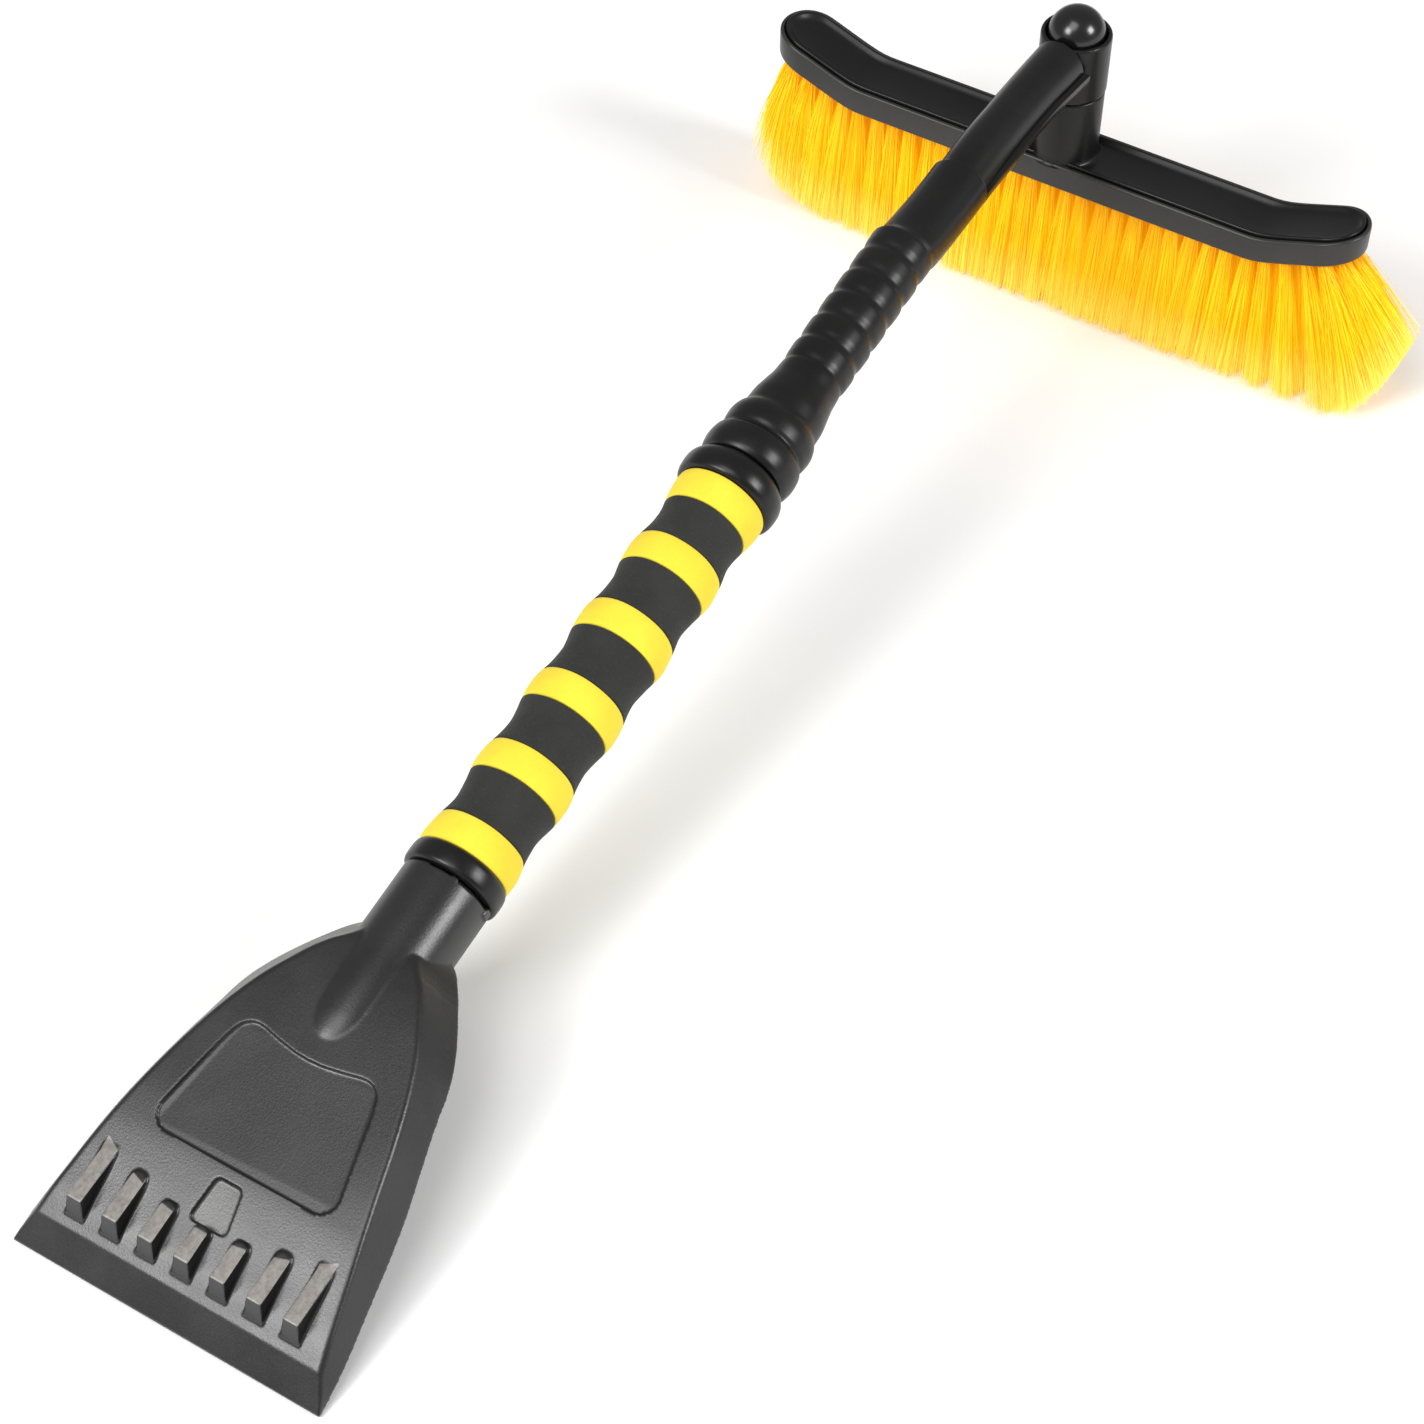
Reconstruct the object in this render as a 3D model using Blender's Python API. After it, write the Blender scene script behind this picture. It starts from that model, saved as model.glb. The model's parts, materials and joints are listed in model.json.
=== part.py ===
"""Snow brush with an ice scraper on the lower end of its foam-covered handle.

The tool stands on the scraper's blade and on the bristle tips, as it would on a bonnet.
The handle's axis slopes up toward the brush by TILT. Two empties carry the pieces:
handle_frame has its local X axis along the handle, with zero where the foam grip begins,
and brush_frame stands at the middle of the brush head's top face. The brush head turns on
brush_frame's vertical axis, under the hub of the arm, and the release button slides on it.

Pieces are drawn in millimetres and stored in metres.
"""
import math

import bpy
import bmesh

for old in list(bpy.data.objects):
    bpy.data.objects.remove(old, do_unlink=True)

MM = 0.001
GAP = 0.3
ROUND = 24

# Stance
TILT = math.radians(11.84)
HANDLE_ORIGIN = (-147.99, 0.0, 54.03)
BRUSH_ON_HANDLE = (450.97, -74.69)

# Foam grip: laminated rings with a wavy outline
WAVE = 33.83
YELLOW_START = (0.0, 32.8, 66.2, 100.0, 133.1, 164.3)
YELLOW_LENGTH = 12.9
GRIP_MEAN_R, GRIP_WAVE_R, GRIP_CREST_AT = 17.5, 1.1, 4.5
FOAM_BORE_R = 11.3

# Handle tube and what plugs into it
TUBE_R, TUBE_BORE_R = 11.0, 10.0
TUBE_START, TUBE_END = -8.6, 232.0
SPIGOT_R, SPIGOT_END = 9.7, 52.0
NECK_R, NECK_END = 17.5, -9.3

# Scraper head: distance along the handle, then half width and height of the top and foot
FAN = ((-184.8, 63.6, -15.2, 63.8, -16.46), (-181.0, 62.2, -12.2, 63.8, -15.8),
       (-174.4, 59.0, -7.0, 63.6, -14.4), (-165.0, 57.2, -2.7, 62.6, -12.8),
       (-155.0, 55.2, 0.6, 61.2, -10.8), (-145.0, 53.2, 3.8, 59.8, -8.8),
       (-132.6, 50.4, 7.2, 58.0, -6.6), (-118.0, 47.0, 10.0, 55.2, -4.6),
       (-102.0, 43.0, 11.8, 51.2, -2.2), (-86.0, 38.0, 13.2, 47.0, -0.6),
       (-72.0, 32.2, 14.2, 43.6, 0.0), (-62.0, 26.6, 14.8, 39.4, 0.0),
       (-54.6, 22.2, 15.0, 35.2, 0.0), (-48.6, 17.6, 15.0, 31.4, 0.0),
       (-44.9, 13.8, 14.9, 28.9, -0.1), (-41.5, 11.4, 14.2, 26.5, -0.2),
       (-38.5, 10.4, 12.8, 24.4, -0.4), (-35.5, 9.6, 10.6, 21.8, -0.6),
       (-33.2, 9.0, 8.2, 19.3, -0.8), (-31.2, 8.6, 5.6, 16.8, -1.0))
FAN_WALL, HOLLOW_ENDS = 3.0, (-165.0, -62.0)
TOOTH_PITCH, TOOTH_TOP_Z = 14.85, 4.0
TOOTH_BACK = (-143.0, -148.5, -152.5, -154.0)

# Arm: distance along the handle, radius and drop of the centre line
ARM_BODY = ((190.9, 17.0, 0.0), (193.0, 18.6, -0.3), (198.0, 19.4, -0.6), (202.5, 18.9, -0.9),
            (205.4, 16.9, -1.1), (207.6, 17.8, -1.2), (212.0, 18.2, -1.4), (216.0, 17.4, -1.6),
            (219.0, 15.8, -1.8), (225.0, 15.6, -2.0), (231.0, 14.6, -2.1), (237.0, 13.5, -2.2),
            (243.0, 13.0, -2.2))
RIB_PITCH, RIB_COUNT, RIB_CREST_R, RIB_ROOT_R, RIB_DROP = 12.3, 6, 13.5, 12.2, -2.3
ARM_NECK = ((318.4, 12.9, -4.6), (330.0, 12.8, -7.0), (345.0, 12.6, -9.0), (361.5, 12.6, -10.3))
ARM_GOOSE = ((374.0, 12.5, -11.1), (387.0, 12.2, -12.5), (401.0, 11.8, -14.9),
             (409.0, 11.6, -16.5), (421.0, 11.4, -19.3), (432.0, 11.2, -22.4),
             (448.0, 11.0, -27.0))
SHELL_STEP, SHELL_WALL = 0.9, 2.2
COVER_START = 361.9
COVER_SCREWS = (383.0, 416.0)

# Hub of the arm, pivot post and push button, on brush_frame's vertical axis
HUB_R, HUB_FOOT, HUB_TOP = 15.1, 30.0, 57.5
JOURNAL_R, JOURNAL_BORE_R = 11.7, 12.0
CLIP_SHOULDER, CLIP_BORE_R = 36.0, 13.5
WEB_FOOT, WEB_TOP = 41.0, 46.0
RECESS_R, SKIRT_R, DOME_R, DOME_FOOT = 13.0, 12.3, 11.2, 57.2
COG_TEETH, COG_TIP_R, COG_ROOT_R = 12, 8.5, 7.0
SPLINE_TIP_R, SPLINE_ROOT_R = 7.4, 8.9
COG_FOOT, COG_TOP = 34.0, 45.7
POST_TOP, POST_FLOOR = 39.9, 9.0

# Brush head
HEAD_W, HEAD_END = 15.4, 139.8
BLOCK_FOOT, BLOCK_TOP, BLOCK_FLOOR = -13.0, -0.9, -6.3
HEAD_Y = (0.0, 50.0, 88.0, 94.0, 99.0, 104.0, 111.0, 118.0, 124.0, 129.0, 133.0, 136.5, 139.0)
RISE = ((0.0, 0.0), (92.0, 0.0), (97.0, 0.4), (104.0, 2.2), (111.0, 4.6), (118.0, 7.1),
        (124.0, 9.2), (130.0, 11.0), (135.0, 12.1), (140.0, 12.8))
ROW_U = (-11.2, -5.6, 0.0, 5.6, 11.2)
ROW_THICK, ROW_SPLAY, TIP_H = 4.2, 1.3, -73.46
END_SPREAD = math.radians(27.0)


def lerp_table(table, x):
    """Straight-line interpolation in rows of (x, value)."""
    for (x0, v0), (x1, v1) in zip(table, table[1:]):
        if x <= x1:
            return v0 + (v1 - v0) * (x - x0) / (x1 - x0)
    return table[-1][1]


def collection(name):
    made = bpy.data.collections.new(name)
    bpy.context.scene.collection.children.link(made)
    return made


PARTS = collection("snow_brush")
CUTTERS = collection("cutters")


def empty(name, location, tilt=0.0):
    """A frame that carries pieces."""
    frame = bpy.data.objects.new(name, None)
    frame.empty_display_size = 0.02
    frame.location = [value * MM for value in location]
    frame.rotation_euler = (0.0, -tilt, 0.0)
    PARTS.objects.link(frame)
    return frame


HANDLE = empty("handle_frame", HANDLE_ORIGIN, TILT)
BRUSH = empty("brush_frame", (
    HANDLE_ORIGIN[0] + BRUSH_ON_HANDLE[0] * math.cos(TILT) - BRUSH_ON_HANDLE[1] * math.sin(TILT),
    0.0,
    HANDLE_ORIGIN[2] + BRUSH_ON_HANDLE[0] * math.sin(TILT) + BRUSH_ON_HANDLE[1] * math.cos(TILT)))


def finish(name, colour, roughness, metallic=0.0):
    material = bpy.data.materials.new(name + "_finish")
    material.use_nodes = True
    shader = material.node_tree.nodes["Principled BSDF"]
    shader.inputs["Base Color"].default_value = (*colour, 1.0)
    shader.inputs["Roughness"].default_value = roughness
    shader.inputs["Metallic"].default_value = metallic
    return material


BLACK = ((0.013, 0.013, 0.013), 0.42)
GRAPHITE = ((0.035, 0.034, 0.033), 0.6)
YELLOW = ((0.93, 0.76, 0.05), 0.85)
CHARCOAL = ((0.035, 0.036, 0.033), 0.9)
BRISTLE = ((0.98, 0.62, 0.01), 0.45)
STEEL = ((0.55, 0.55, 0.56), 0.3, 1.0)


def piece(name, frame, bm, look=None, smooth=35.0):
    """Store a bmesh drawn in millimetres as a named part, or as a cutter without a look."""
    bmesh.ops.scale(bm, vec=(MM, MM, MM), verts=bm.verts)
    bmesh.ops.recalc_face_normals(bm, faces=bm.faces)
    mesh = bpy.data.meshes.new(name)
    bm.to_mesh(mesh)
    bm.free()
    made = bpy.data.objects.new(name, mesh)
    made.parent = frame
    if look is None:
        CUTTERS.objects.link(made)
        made.hide_render = True
        made.display_type = "WIRE"
        return made
    PARTS.objects.link(made)
    mesh.materials.append(finish(name, *look))
    mesh.shade_smooth()
    mesh.set_sharp_from_angle(angle=math.radians(smooth))
    return made


def boolean(target, tool, operation="DIFFERENCE"):
    modifier = target.modifiers.new(operation.lower() + "_" + tool.name, "BOOLEAN")
    modifier.operation = operation
    modifier.solver = "EXACT"
    modifier.object = tool


def lathe(profile, along="Z", closed=False, segments=ROUND, drop=None):
    """Turn a profile of (position, radius) about an axis; drop lowers each ring's centre."""
    bm = bmesh.new()
    rings = []
    for index, (place, radius) in enumerate(profile):
        sink = drop[index] if drop else 0.0
        spots = [(0.0, 0.0)] if radius < 1e-6 else [
            (radius * math.cos(2 * math.pi * k / segments),
             radius * math.sin(2 * math.pi * k / segments)) for k in range(segments)]
        if along == "X":
            rings.append([bm.verts.new((place, p, q + sink)) for p, q in spots])
        elif along == "Y":
            rings.append([bm.verts.new((p, place, q + sink)) for p, q in spots])
        else:
            rings.append([bm.verts.new((p, q, place)) for p, q in spots])
    pairs = list(zip(rings, rings[1:]))
    if closed:
        pairs.append((rings[-1], rings[0]))
    for one, two in pairs:
        if len(one) == 1 and len(two) == 1:
            continue
        for k in range(segments):
            j = (k + 1) % segments
            corners = [one[0] if len(one) == 1 else one[k],
                       two[0] if len(two) == 1 else two[k],
                       None if len(two) == 1 else two[j],
                       None if len(one) == 1 else one[j]]
            bm.faces.new([corner for corner in corners if corner])
    if not closed:
        for ring in (rings[0], rings[-1]):
            if len(ring) > 2:
                bm.faces.new(ring)
    return bm


def rod(length_from, length_to, radius, along="Z", segments=ROUND):
    return lathe(((length_from, radius), (length_to, radius)), along, segments=segments)


def loft(loops):
    """Skin a row of loops that have the same number of points, and cap both ends."""
    bm = bmesh.new()
    rows = [[bm.verts.new(point) for point in loop] for loop in loops]
    count = len(rows[0])
    for one, two in zip(rows, rows[1:]):
        for k in range(count):
            j = (k + 1) % count
            bm.faces.new((one[k], one[j], two[j], two[k]))
    bm.faces.new(rows[0])
    bm.faces.new(rows[-1])
    return bm


def prism(outline, low, high):
    """Extrude an outline of (x, y) points from one height to another."""
    return loft([[(x, y, h) for x, y in outline] for h in (low, high)])


def box(x, y, z):
    return prism(((x[0], y[0]), (x[1], y[0]), (x[1], y[1]), (x[0], y[1])), z[0], z[1])


def moved(bm, x=0.0, y=0.0, z=0.0):
    bmesh.ops.translate(bm, vec=(x, y, z), verts=bm.verts)
    return bm


def ring_sector(s, radius, angles, step=10.0):
    """Curved bar about the handle's axis, between two angles measured from +Y toward +Z."""
    count = max(2, round((angles[1] - angles[0]) / step))
    loops = []
    for k in range(count + 1):
        turn = math.radians(angles[0] + (angles[1] - angles[0]) * k / count)
        loops.append([(x, r * math.cos(turn), r * math.sin(turn))
                      for x, r in ((s[0], radius[0]), (s[1], radius[0]),
                                   (s[1], radius[1]), (s[0], radius[1]))])
    return loft(loops)


def mirrored_loop(half):
    """Close a right-hand half outline of (y, z) points with its mirror image."""
    return half + [(-y, z) for y, z in reversed(half)]


# --- Scraper head ------------------------------------------------------------------------

def fan_loop(row, inset=0.0, foot_drop=0.0):
    """Section of the flared head: narrow rounded top, wide foot."""
    s, top_w, top_z, foot_w, foot_z = row
    edge = min(2.2, 0.3 * (top_z - foot_z))
    half = [(foot_w - inset, foot_z - foot_drop),
            (top_w + 0.25 * (foot_w - top_w) - inset, top_z - 1.6 * edge - inset),
            (top_w - 0.2 * edge - inset, top_z - 0.45 * edge - inset),
            (top_w - 1.1 * edge - inset, top_z - inset),
            (0.5 * top_w, top_z + 0.25 - inset)]
    return [(s, y, z) for y, z in mirrored_loop(half)]


def fan_top(s):
    return lerp_table([(row[0], row[2]) for row in FAN], s)


def scraper_head():
    neck = lathe(((-98.0, 0.0), (-98.0, 6.0), (-94.0, 10.4), (-86.0, 13.4), (-76.0, 15.5),
                  (-64.0, 17.0), (-50.0, NECK_R), (-13.0, NECK_R), (NECK_END - 0.7, NECK_R),
                  (NECK_END, NECK_R - 0.8), (NECK_END, SPIGOT_R), (SPIGOT_END - 2.0, SPIGOT_R),
                  (SPIGOT_END, SPIGOT_R - 1.5), (SPIGOT_END, 6.4), (-45.0, 6.4), (-45.0, 0.0)),
                 "X")
    head = piece("scraper_head", HANDLE, neck, GRAPHITE, 28.0)
    fan = piece("fan_plate", HANDLE, loft([fan_loop(row) for row in FAN]))
    hollow = piece("fan_hollow", HANDLE, loft(
        [fan_loop(row, FAN_WALL, 6.0) for row in FAN
         if HOLLOW_ENDS[0] <= row[0] <= HOLLOW_ENDS[1]]))
    boolean(fan, hollow)
    boolean(head, fan, "UNION")
    for index in range(7):
        y = (3 - index) * TOOTH_PITCH
        back = TOOTH_BACK[min(index, 6 - index)]
        foot = [(-171.4, 3.5), (back - 0.5, 3.2), (back + 1.6, 1.7)]
        crown = [(-167.2, 2.6), (back - 1.8, 2.3), (back, 1.2)]
        base = [(s, w, fan_top(s) - 0.8) for s, w in foot]
        top = [(s, w, TOOTH_TOP_Z) for s, w in crown]
        tooth = loft([[(s, y + w, z) for s, w, z in half]
                      + [(s, y - w, z) for s, w, z in reversed(half)] for half in (base, top)])
        boolean(head, piece("tooth_%d" % (index + 1), HANDLE, tooth), "UNION")
    panel = []
    for s, y in ((-132.6, 0.0), (-132.6, 31.0), (-130.6, 35.2), (-126.4, 36.9), (-98.0, 30.8),
                 (-90.6, 28.4), (-87.4, 25.0), (-87.3, 20.4), (-89.0, 12.0), (-90.4, 0.0)):
        panel.append((s, y))
    outline = panel + [(s, -y) for s, y in reversed(panel[1:-1])]
    recess = loft([[(s, y, fan_top(s) - 1.0) for s, y in outline],
                   [(s, y, fan_top(s) + 4.0) for s, y in outline]])
    boolean(head, piece("panel_recess", HANDLE, recess))
    label = [(-153.4, -6.3), (-152.4, -7.4), (-139.0, -5.6), (-137.6, -4.6), (-137.6, 4.6),
             (-139.0, 5.6), (-152.4, 7.4), (-153.4, 6.3)]
    window = loft([[(s, y, fan_top(s) - 1.3) for s, y in label],
                   [(s, y, fan_top(s) + 3.0) for s, y in label]])
    boolean(head, piece("label_recess", HANDLE, window))
    boolean(head, piece("latch_slit", HANDLE,
                        ring_sector((-10.1, NECK_END + 1.0), (15.6, 19.0), (78.0, 111.0))))
    boolean(head, piece("latch_gap", HANDLE,
                        ring_sector((-10.8, NECK_END + 1.0), (15.6, 19.0), (119.0, 196.0))))
    boolean(head, piece("index_lug", HANDLE, box((-12.9, -9.5), (-18.2, -15.2), (-2.4, 1.8))),
            "UNION")
    pin_hole = moved(rod(-20.0, 20.0, 2.2, "Y", 12), x=22.0)
    boolean(head, piece("spigot_pin_hole", HANDLE, pin_hole))
    for side in (-1, 1):
        rib = box((-171.0, -84.0), (side * 22.0 - 1.0, side * 22.0 + 1.0), (-3.0, 0.0))
        for vert in rib.verts:
            vert.co.z += fan_top(vert.co.x) - 2.0
        boolean(head, piece("plate_rib_" + ("left" if side > 0 else "right"), HANDLE, rib),
                "UNION")
    return head


# --- Handle and grip ---------------------------------------------------------------------

def grip_radius(s):
    return GRIP_MEAN_R + GRIP_WAVE_R * math.cos(2 * math.pi * (s - GRIP_CREST_AT) / WAVE)


def foam_ring(name, start, end, look):
    steps = 4
    outer = [(start + (end - start) * k / steps,
              grip_radius(start + (end - start) * k / steps)) for k in range(steps + 1)]
    profile = outer + [(end, FOAM_BORE_R), (start, FOAM_BORE_R)]
    return piece(name, HANDLE, lathe(profile, "X", closed=True), look)


def grip():
    half = GAP / 2
    for index, start in enumerate(YELLOW_START):
        end = start + YELLOW_LENGTH
        foam_ring("foam_yellow_%d" % (index + 1), start + half, end - half, YELLOW)
        if index < len(YELLOW_START) - 1:
            foam_ring("foam_black_%d" % (index + 1), end + half,
                      YELLOW_START[index + 1] - half, CHARCOAL)


def handle_pieces():
    tube = piece("handle_tube", HANDLE, lathe(
        ((TUBE_START, TUBE_BORE_R), (TUBE_START, TUBE_R), (TUBE_END, TUBE_R),
         (TUBE_END, TUBE_BORE_R)), "X", closed=True), STEEL)
    boolean(tube, piece("tube_pin_hole", HANDLE, moved(rod(-20.0, 20.0, 2.2, "Y", 12), x=22.0)))
    boolean(tube, piece("tube_screw_hole", HANDLE, moved(rod(-20.0, 0.0, 2.2, "Z", 12), x=212.0)))
    piece("scraper_pin", HANDLE, moved(rod(-10.85, 10.85, 1.9, "Y", 12), x=22.0), STEEL)
    piece("grip_end_collar", HANDLE, lathe(
        ((-9.0, FOAM_BORE_R), (-9.0, 17.9), (-8.2, 18.8), (-5.0, 19.1), (-1.4, 18.9),
         (-0.2, 18.1), (-0.2, FOAM_BORE_R)), "X", closed=True), BLACK)
    piece("grip_top_collar", HANDLE, lathe(
        ((177.4, FOAM_BORE_R), (177.4, 19.3), (179.4, 20.4), (183.0, 20.8), (186.5, 20.2),
         (189.2, 18.4), (190.5, 16.4), (190.5, FOAM_BORE_R)), "X", closed=True), BLACK)


# --- Arm ---------------------------------------------------------------------------------

def arm_table():
    """All rings of the arm before its split: body, moulded ribs, neck and goose-neck."""
    rows = list(ARM_BODY)
    start = ARM_BODY[-1][0] + 0.8
    for index in range(RIB_COUNT):
        s = start + index * RIB_PITCH
        rows.append((s, RIB_ROOT_R, RIB_DROP))
        rows.append((s + 0.3 * RIB_PITCH, RIB_CREST_R - 0.15, RIB_DROP))
        rows.append((s + 0.75 * RIB_PITCH, RIB_CREST_R, RIB_DROP))
    rows.append((start + RIB_COUNT * RIB_PITCH - 1.2, RIB_ROOT_R + 0.1, RIB_DROP - 0.6))
    return rows + list(ARM_NECK) + list(ARM_GOOSE)


def centre_drop(s):
    return lerp_table([(row[0], row[2]) for row in arm_table()], s)


def arm_radius(s):
    return lerp_table([(row[0], row[1]) for row in arm_table()], s)


def arc_loop(s, radius, drop, start, end, steps, squeeze=0.0):
    """Points on an arc in the section plane, in degrees from +Y toward +Z."""
    points = []
    for k in range(steps + 1):
        angle = math.radians(start + (end - start) * k / steps)
        points.append((s, (radius - squeeze) * math.cos(angle), drop + radius * math.sin(angle)))
    return points


def spline_outline(tip, root, tip_half, root_half):
    """Toothed outline: root is the radius between the teeth, tip the one at their crests."""
    points = []
    for index in range(COG_TEETH):
        middle = 360.0 / COG_TEETH * index
        for radius, offset in ((root, -root_half), (tip, -tip_half), (tip, tip_half),
                               (root, root_half)):
            angle = math.radians(middle + offset)
            points.append((radius * math.cos(angle), radius * math.sin(angle)))
    return points


def spline_cutter(name, low, high):
    outline = spline_outline(SPLINE_ROOT_R, SPLINE_TIP_R, 8.2, 10.8)
    return piece(name, BRUSH, prism(outline, low, high))


def brush_arm():
    rows = arm_table()
    body = rows[:len(rows) - len(ARM_GOOSE)]
    bm = lathe([(s, r) for s, r, _ in body], "X", drop=[d for _, _, d in body])
    arm = piece("brush_arm", HANDLE, bm, BLACK, 32.0)
    upper = [(COVER_START - 1.0, 12.6, -10.3)] + list(ARM_GOOSE)
    shell = loft([arc_loop(s, r, d, -1.0, 181.0, 12, SHELL_STEP) for s, r, d in upper])
    hollow = loft([arc_loop(s, r - SHELL_WALL, d, -6.0, 186.0, 12, SHELL_STEP)
                   for s, r, d in [(COVER_START, 12.6, -10.3)] + list(ARM_GOOSE)[:-1]])
    shell_body = piece("arm_shell", HANDLE, shell)
    boolean(shell_body, piece("arm_shell_hollow", HANDLE, hollow))
    for index, s in enumerate(COVER_SCREWS):
        drop = centre_drop(s)
        post = moved(rod(drop - 0.1, drop + arm_radius(s) - 1.2, 3.6, "Z", 16), x=s)
        boolean(shell_body, piece("arm_screw_post_%d" % (index + 1), HANDLE, post), "UNION")
        pilot = moved(rod(drop - 4.0, drop + 7.0, 1.65, "Z", 12), x=s)
        boolean(shell_body, piece("arm_screw_pilot_%d" % (index + 1), HANDLE, pilot))
    boolean(arm, shell_body, "UNION")
    hub = piece("arm_hub", BRUSH, lathe(
        ((HUB_FOOT, HUB_R - 0.4), (HUB_FOOT + 0.6, HUB_R), (HUB_TOP - 1.2, HUB_R),
         (HUB_TOP, HUB_R - 0.9)), "Z"))
    boolean(arm, hub, "UNION")
    boolean(arm, piece("hub_recess", BRUSH, lathe(
        ((WEB_TOP, RECESS_R), (HUB_TOP - 0.7, RECESS_R), (HUB_TOP + 0.1, RECESS_R + 0.5),
         (HUB_TOP + 6.0, RECESS_R + 0.5)), "Z")))
    for name, low, high, radius in (
            ("hub_clip_bore", CLIP_SHOULDER, WEB_FOOT, CLIP_BORE_R),
            ("hub_journal_bore", HUB_FOOT - 9.0, CLIP_SHOULDER + 1.0, JOURNAL_BORE_R)):
        boolean(arm, piece(name, BRUSH, rod(low, high, radius)))
    boolean(arm, spline_cutter("hub_spline", WEB_FOOT - 1.0, WEB_TOP + 1.0))
    boolean(arm, piece("arm_tube_socket", HANDLE, rod(180.0, TUBE_END + 1.0, FOAM_BORE_R, "X")))
    core = [row for row in rows if TUBE_END - 1.0 < row[0] < COVER_START]
    core = [(TUBE_END - 1.0, 0.0, core[0][2]), *core, (COVER_START + 3.0, 0.0, core[-1][2])]
    boolean(arm, piece("arm_core", HANDLE, lathe(
        [(s, 8.6) for s, _, _ in core], "X", drop=[d for _, _, d in core], segments=16)))
    seat = lathe(((-40.0, 3.6), (-17.0, 3.6), (-17.0, 2.3), (-9.0, 2.3)), "Z", segments=12)
    boolean(arm, piece("arm_screw_seat", HANDLE, moved(seat, x=212.0)))
    piece("arm_screw", HANDLE, moved(lathe(
        ((-18.9, 0.0), (-18.9, 2.6), (-18.2, 3.2), (-17.3, 3.2), (-17.3, 1.9), (-8.6, 1.9),
         (-7.6, 0.0)), "Z", segments=12), x=212.0), STEEL)
    return arm


def arm_under_cover():
    """Lower half of the goose-neck, screwed up into the arm."""
    rows = [(COVER_START, 12.6, -10.3)] + list(ARM_GOOSE)
    loops = []
    for s, r, d in rows:
        outer = arc_loop(s, r + 0.25, d - GAP - 0.05, 180.0, 360.0, 12)
        inner = arc_loop(s, r - SHELL_WALL, d - GAP - 0.05, 360.0, 180.0, 12)
        loops.append(outer + inner)
    cover = piece("arm_under_cover", HANDLE, loft(loops), BLACK, 32.0)
    for index, s in enumerate(COVER_SCREWS):
        drop = centre_drop(s)
        foot = drop - arm_radius(s)
        boss = moved(rod(foot + 0.6, drop - 0.5, 4.4, "Z", 16), x=s)
        boolean(cover, piece("cover_boss_%d" % (index + 1), HANDLE, boss), "UNION")
        seat = lathe(((foot - 6.0, 3.3), (drop - 6.5, 3.3), (drop - 6.5, 1.9), (drop + 3.0, 1.9)),
                     "Z", segments=12)
        boolean(cover, piece("cover_seat_%d" % (index + 1), HANDLE, moved(seat, x=s)))
        screw = lathe(((drop - 8.6, 0.0), (drop - 8.6, 2.4), (drop - 8.0, 2.9), (drop - 6.8, 2.9),
                       (drop - 6.8, 1.3), (drop + 5.0, 1.3), (drop + 6.2, 0.0)), "Z", segments=12)
        piece("cover_screw_%d" % (index + 1), HANDLE, moved(screw, x=s), STEEL)
    boolean(cover, piece("hub_clearance", BRUSH, rod(0.0, 80.0, HUB_R + 0.35)))
    beyond = box((452.0, 520.0), (-30.0, 30.0), (-80.0, 20.0))
    boolean(cover, piece("cover_end_trim", HANDLE, beyond))


# --- Push-button lock --------------------------------------------------------------------

def button_pieces():
    piece("release_button", BRUSH, lathe(
        ((36.0, 1.8), (36.0, 4.3), (45.9, 4.3), (45.9, 5.4), (56.6, 5.4), (56.8, 9.4),
         (51.8, 9.6), (51.8, SKIRT_R), (54.8, SKIRT_R), (55.6, DOME_R), (DOME_FOOT, DOME_R),
         *[(DOME_FOOT + DOME_R * math.sin(a), DOME_R * math.cos(a))
           for a in (math.radians(d) for d in (15.0, 30.0, 45.0, 60.0, 75.0))],
         (DOME_FOOT + DOME_R, 0.0), (45.0, 0.0), (45.0, 1.8)), "Z", closed=True), BLACK)
    cog = piece("lock_cog", BRUSH, prism(spline_outline(COG_TIP_R, COG_ROOT_R, 5.5, 8.0),
                                         COG_FOOT, COG_TOP), GRAPHITE)
    bore = lathe(((COG_FOOT - 1.0, 1.9), (35.7, 1.9), (35.7, 4.6), (COG_TOP + 1.0, 4.6)), "Z",
                 segments=16)
    boolean(cog, piece("cog_bore", BRUSH, bore))
    piece("button_screw", BRUSH, lathe(
        ((31.9, 0.0), (31.9, 3.0), (32.5, 3.6), (33.7, 3.6), (33.7, 1.5), (43.4, 1.5),
         (44.4, 0.0)), "Z", segments=12), STEEL)
    wire, mean_r, turns, low, high = 0.65, 6.6, 5.0, POST_FLOOR + 0.3, COG_FOOT - 0.3
    bm = bmesh.new()
    rings = []
    steps = int(turns * 14)
    for k in range(steps + 1):
        angle = 2 * math.pi * turns * k / steps
        height = low + wire + (high - low - 2 * wire) * k / steps
        rings.append([bm.verts.new(((mean_r + wire * math.cos(a)) * math.cos(angle),
                                    (mean_r + wire * math.cos(a)) * math.sin(angle),
                                    height + wire * math.sin(a)))
                      for a in (0.0, math.pi / 3, 2 * math.pi / 3, math.pi,
                                4 * math.pi / 3, 5 * math.pi / 3)])
    for one, two in zip(rings, rings[1:]):
        for k in range(6):
            j = (k + 1) % 6
            bm.faces.new((one[k], one[j], two[j], two[k]))
    bm.faces.new(rings[0])
    bm.faces.new(rings[-1])
    piece("button_spring", BRUSH, bm, STEEL, 60.0)
    bm = loft([[(r * math.cos(math.radians(a)), r * math.sin(math.radians(a)), h)
                for r, h in ((10.7, 36.5), (13.0, 36.5), (13.0, 37.9), (10.7, 37.9))]
               for a in range(20, 341, 20)])
    piece("retaining_clip", BRUSH, bm, STEEL)


# --- Brush head --------------------------------------------------------------------------

def head_half_width(y, half_width, end):
    """Half width of the head's plan: parallel sides and rounded ends."""
    bend = end - 16.0
    reach = (abs(y) - bend) / 16.2
    return half_width if reach <= 0.0 else half_width * math.sqrt(1.0 - reach * reach)


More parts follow.
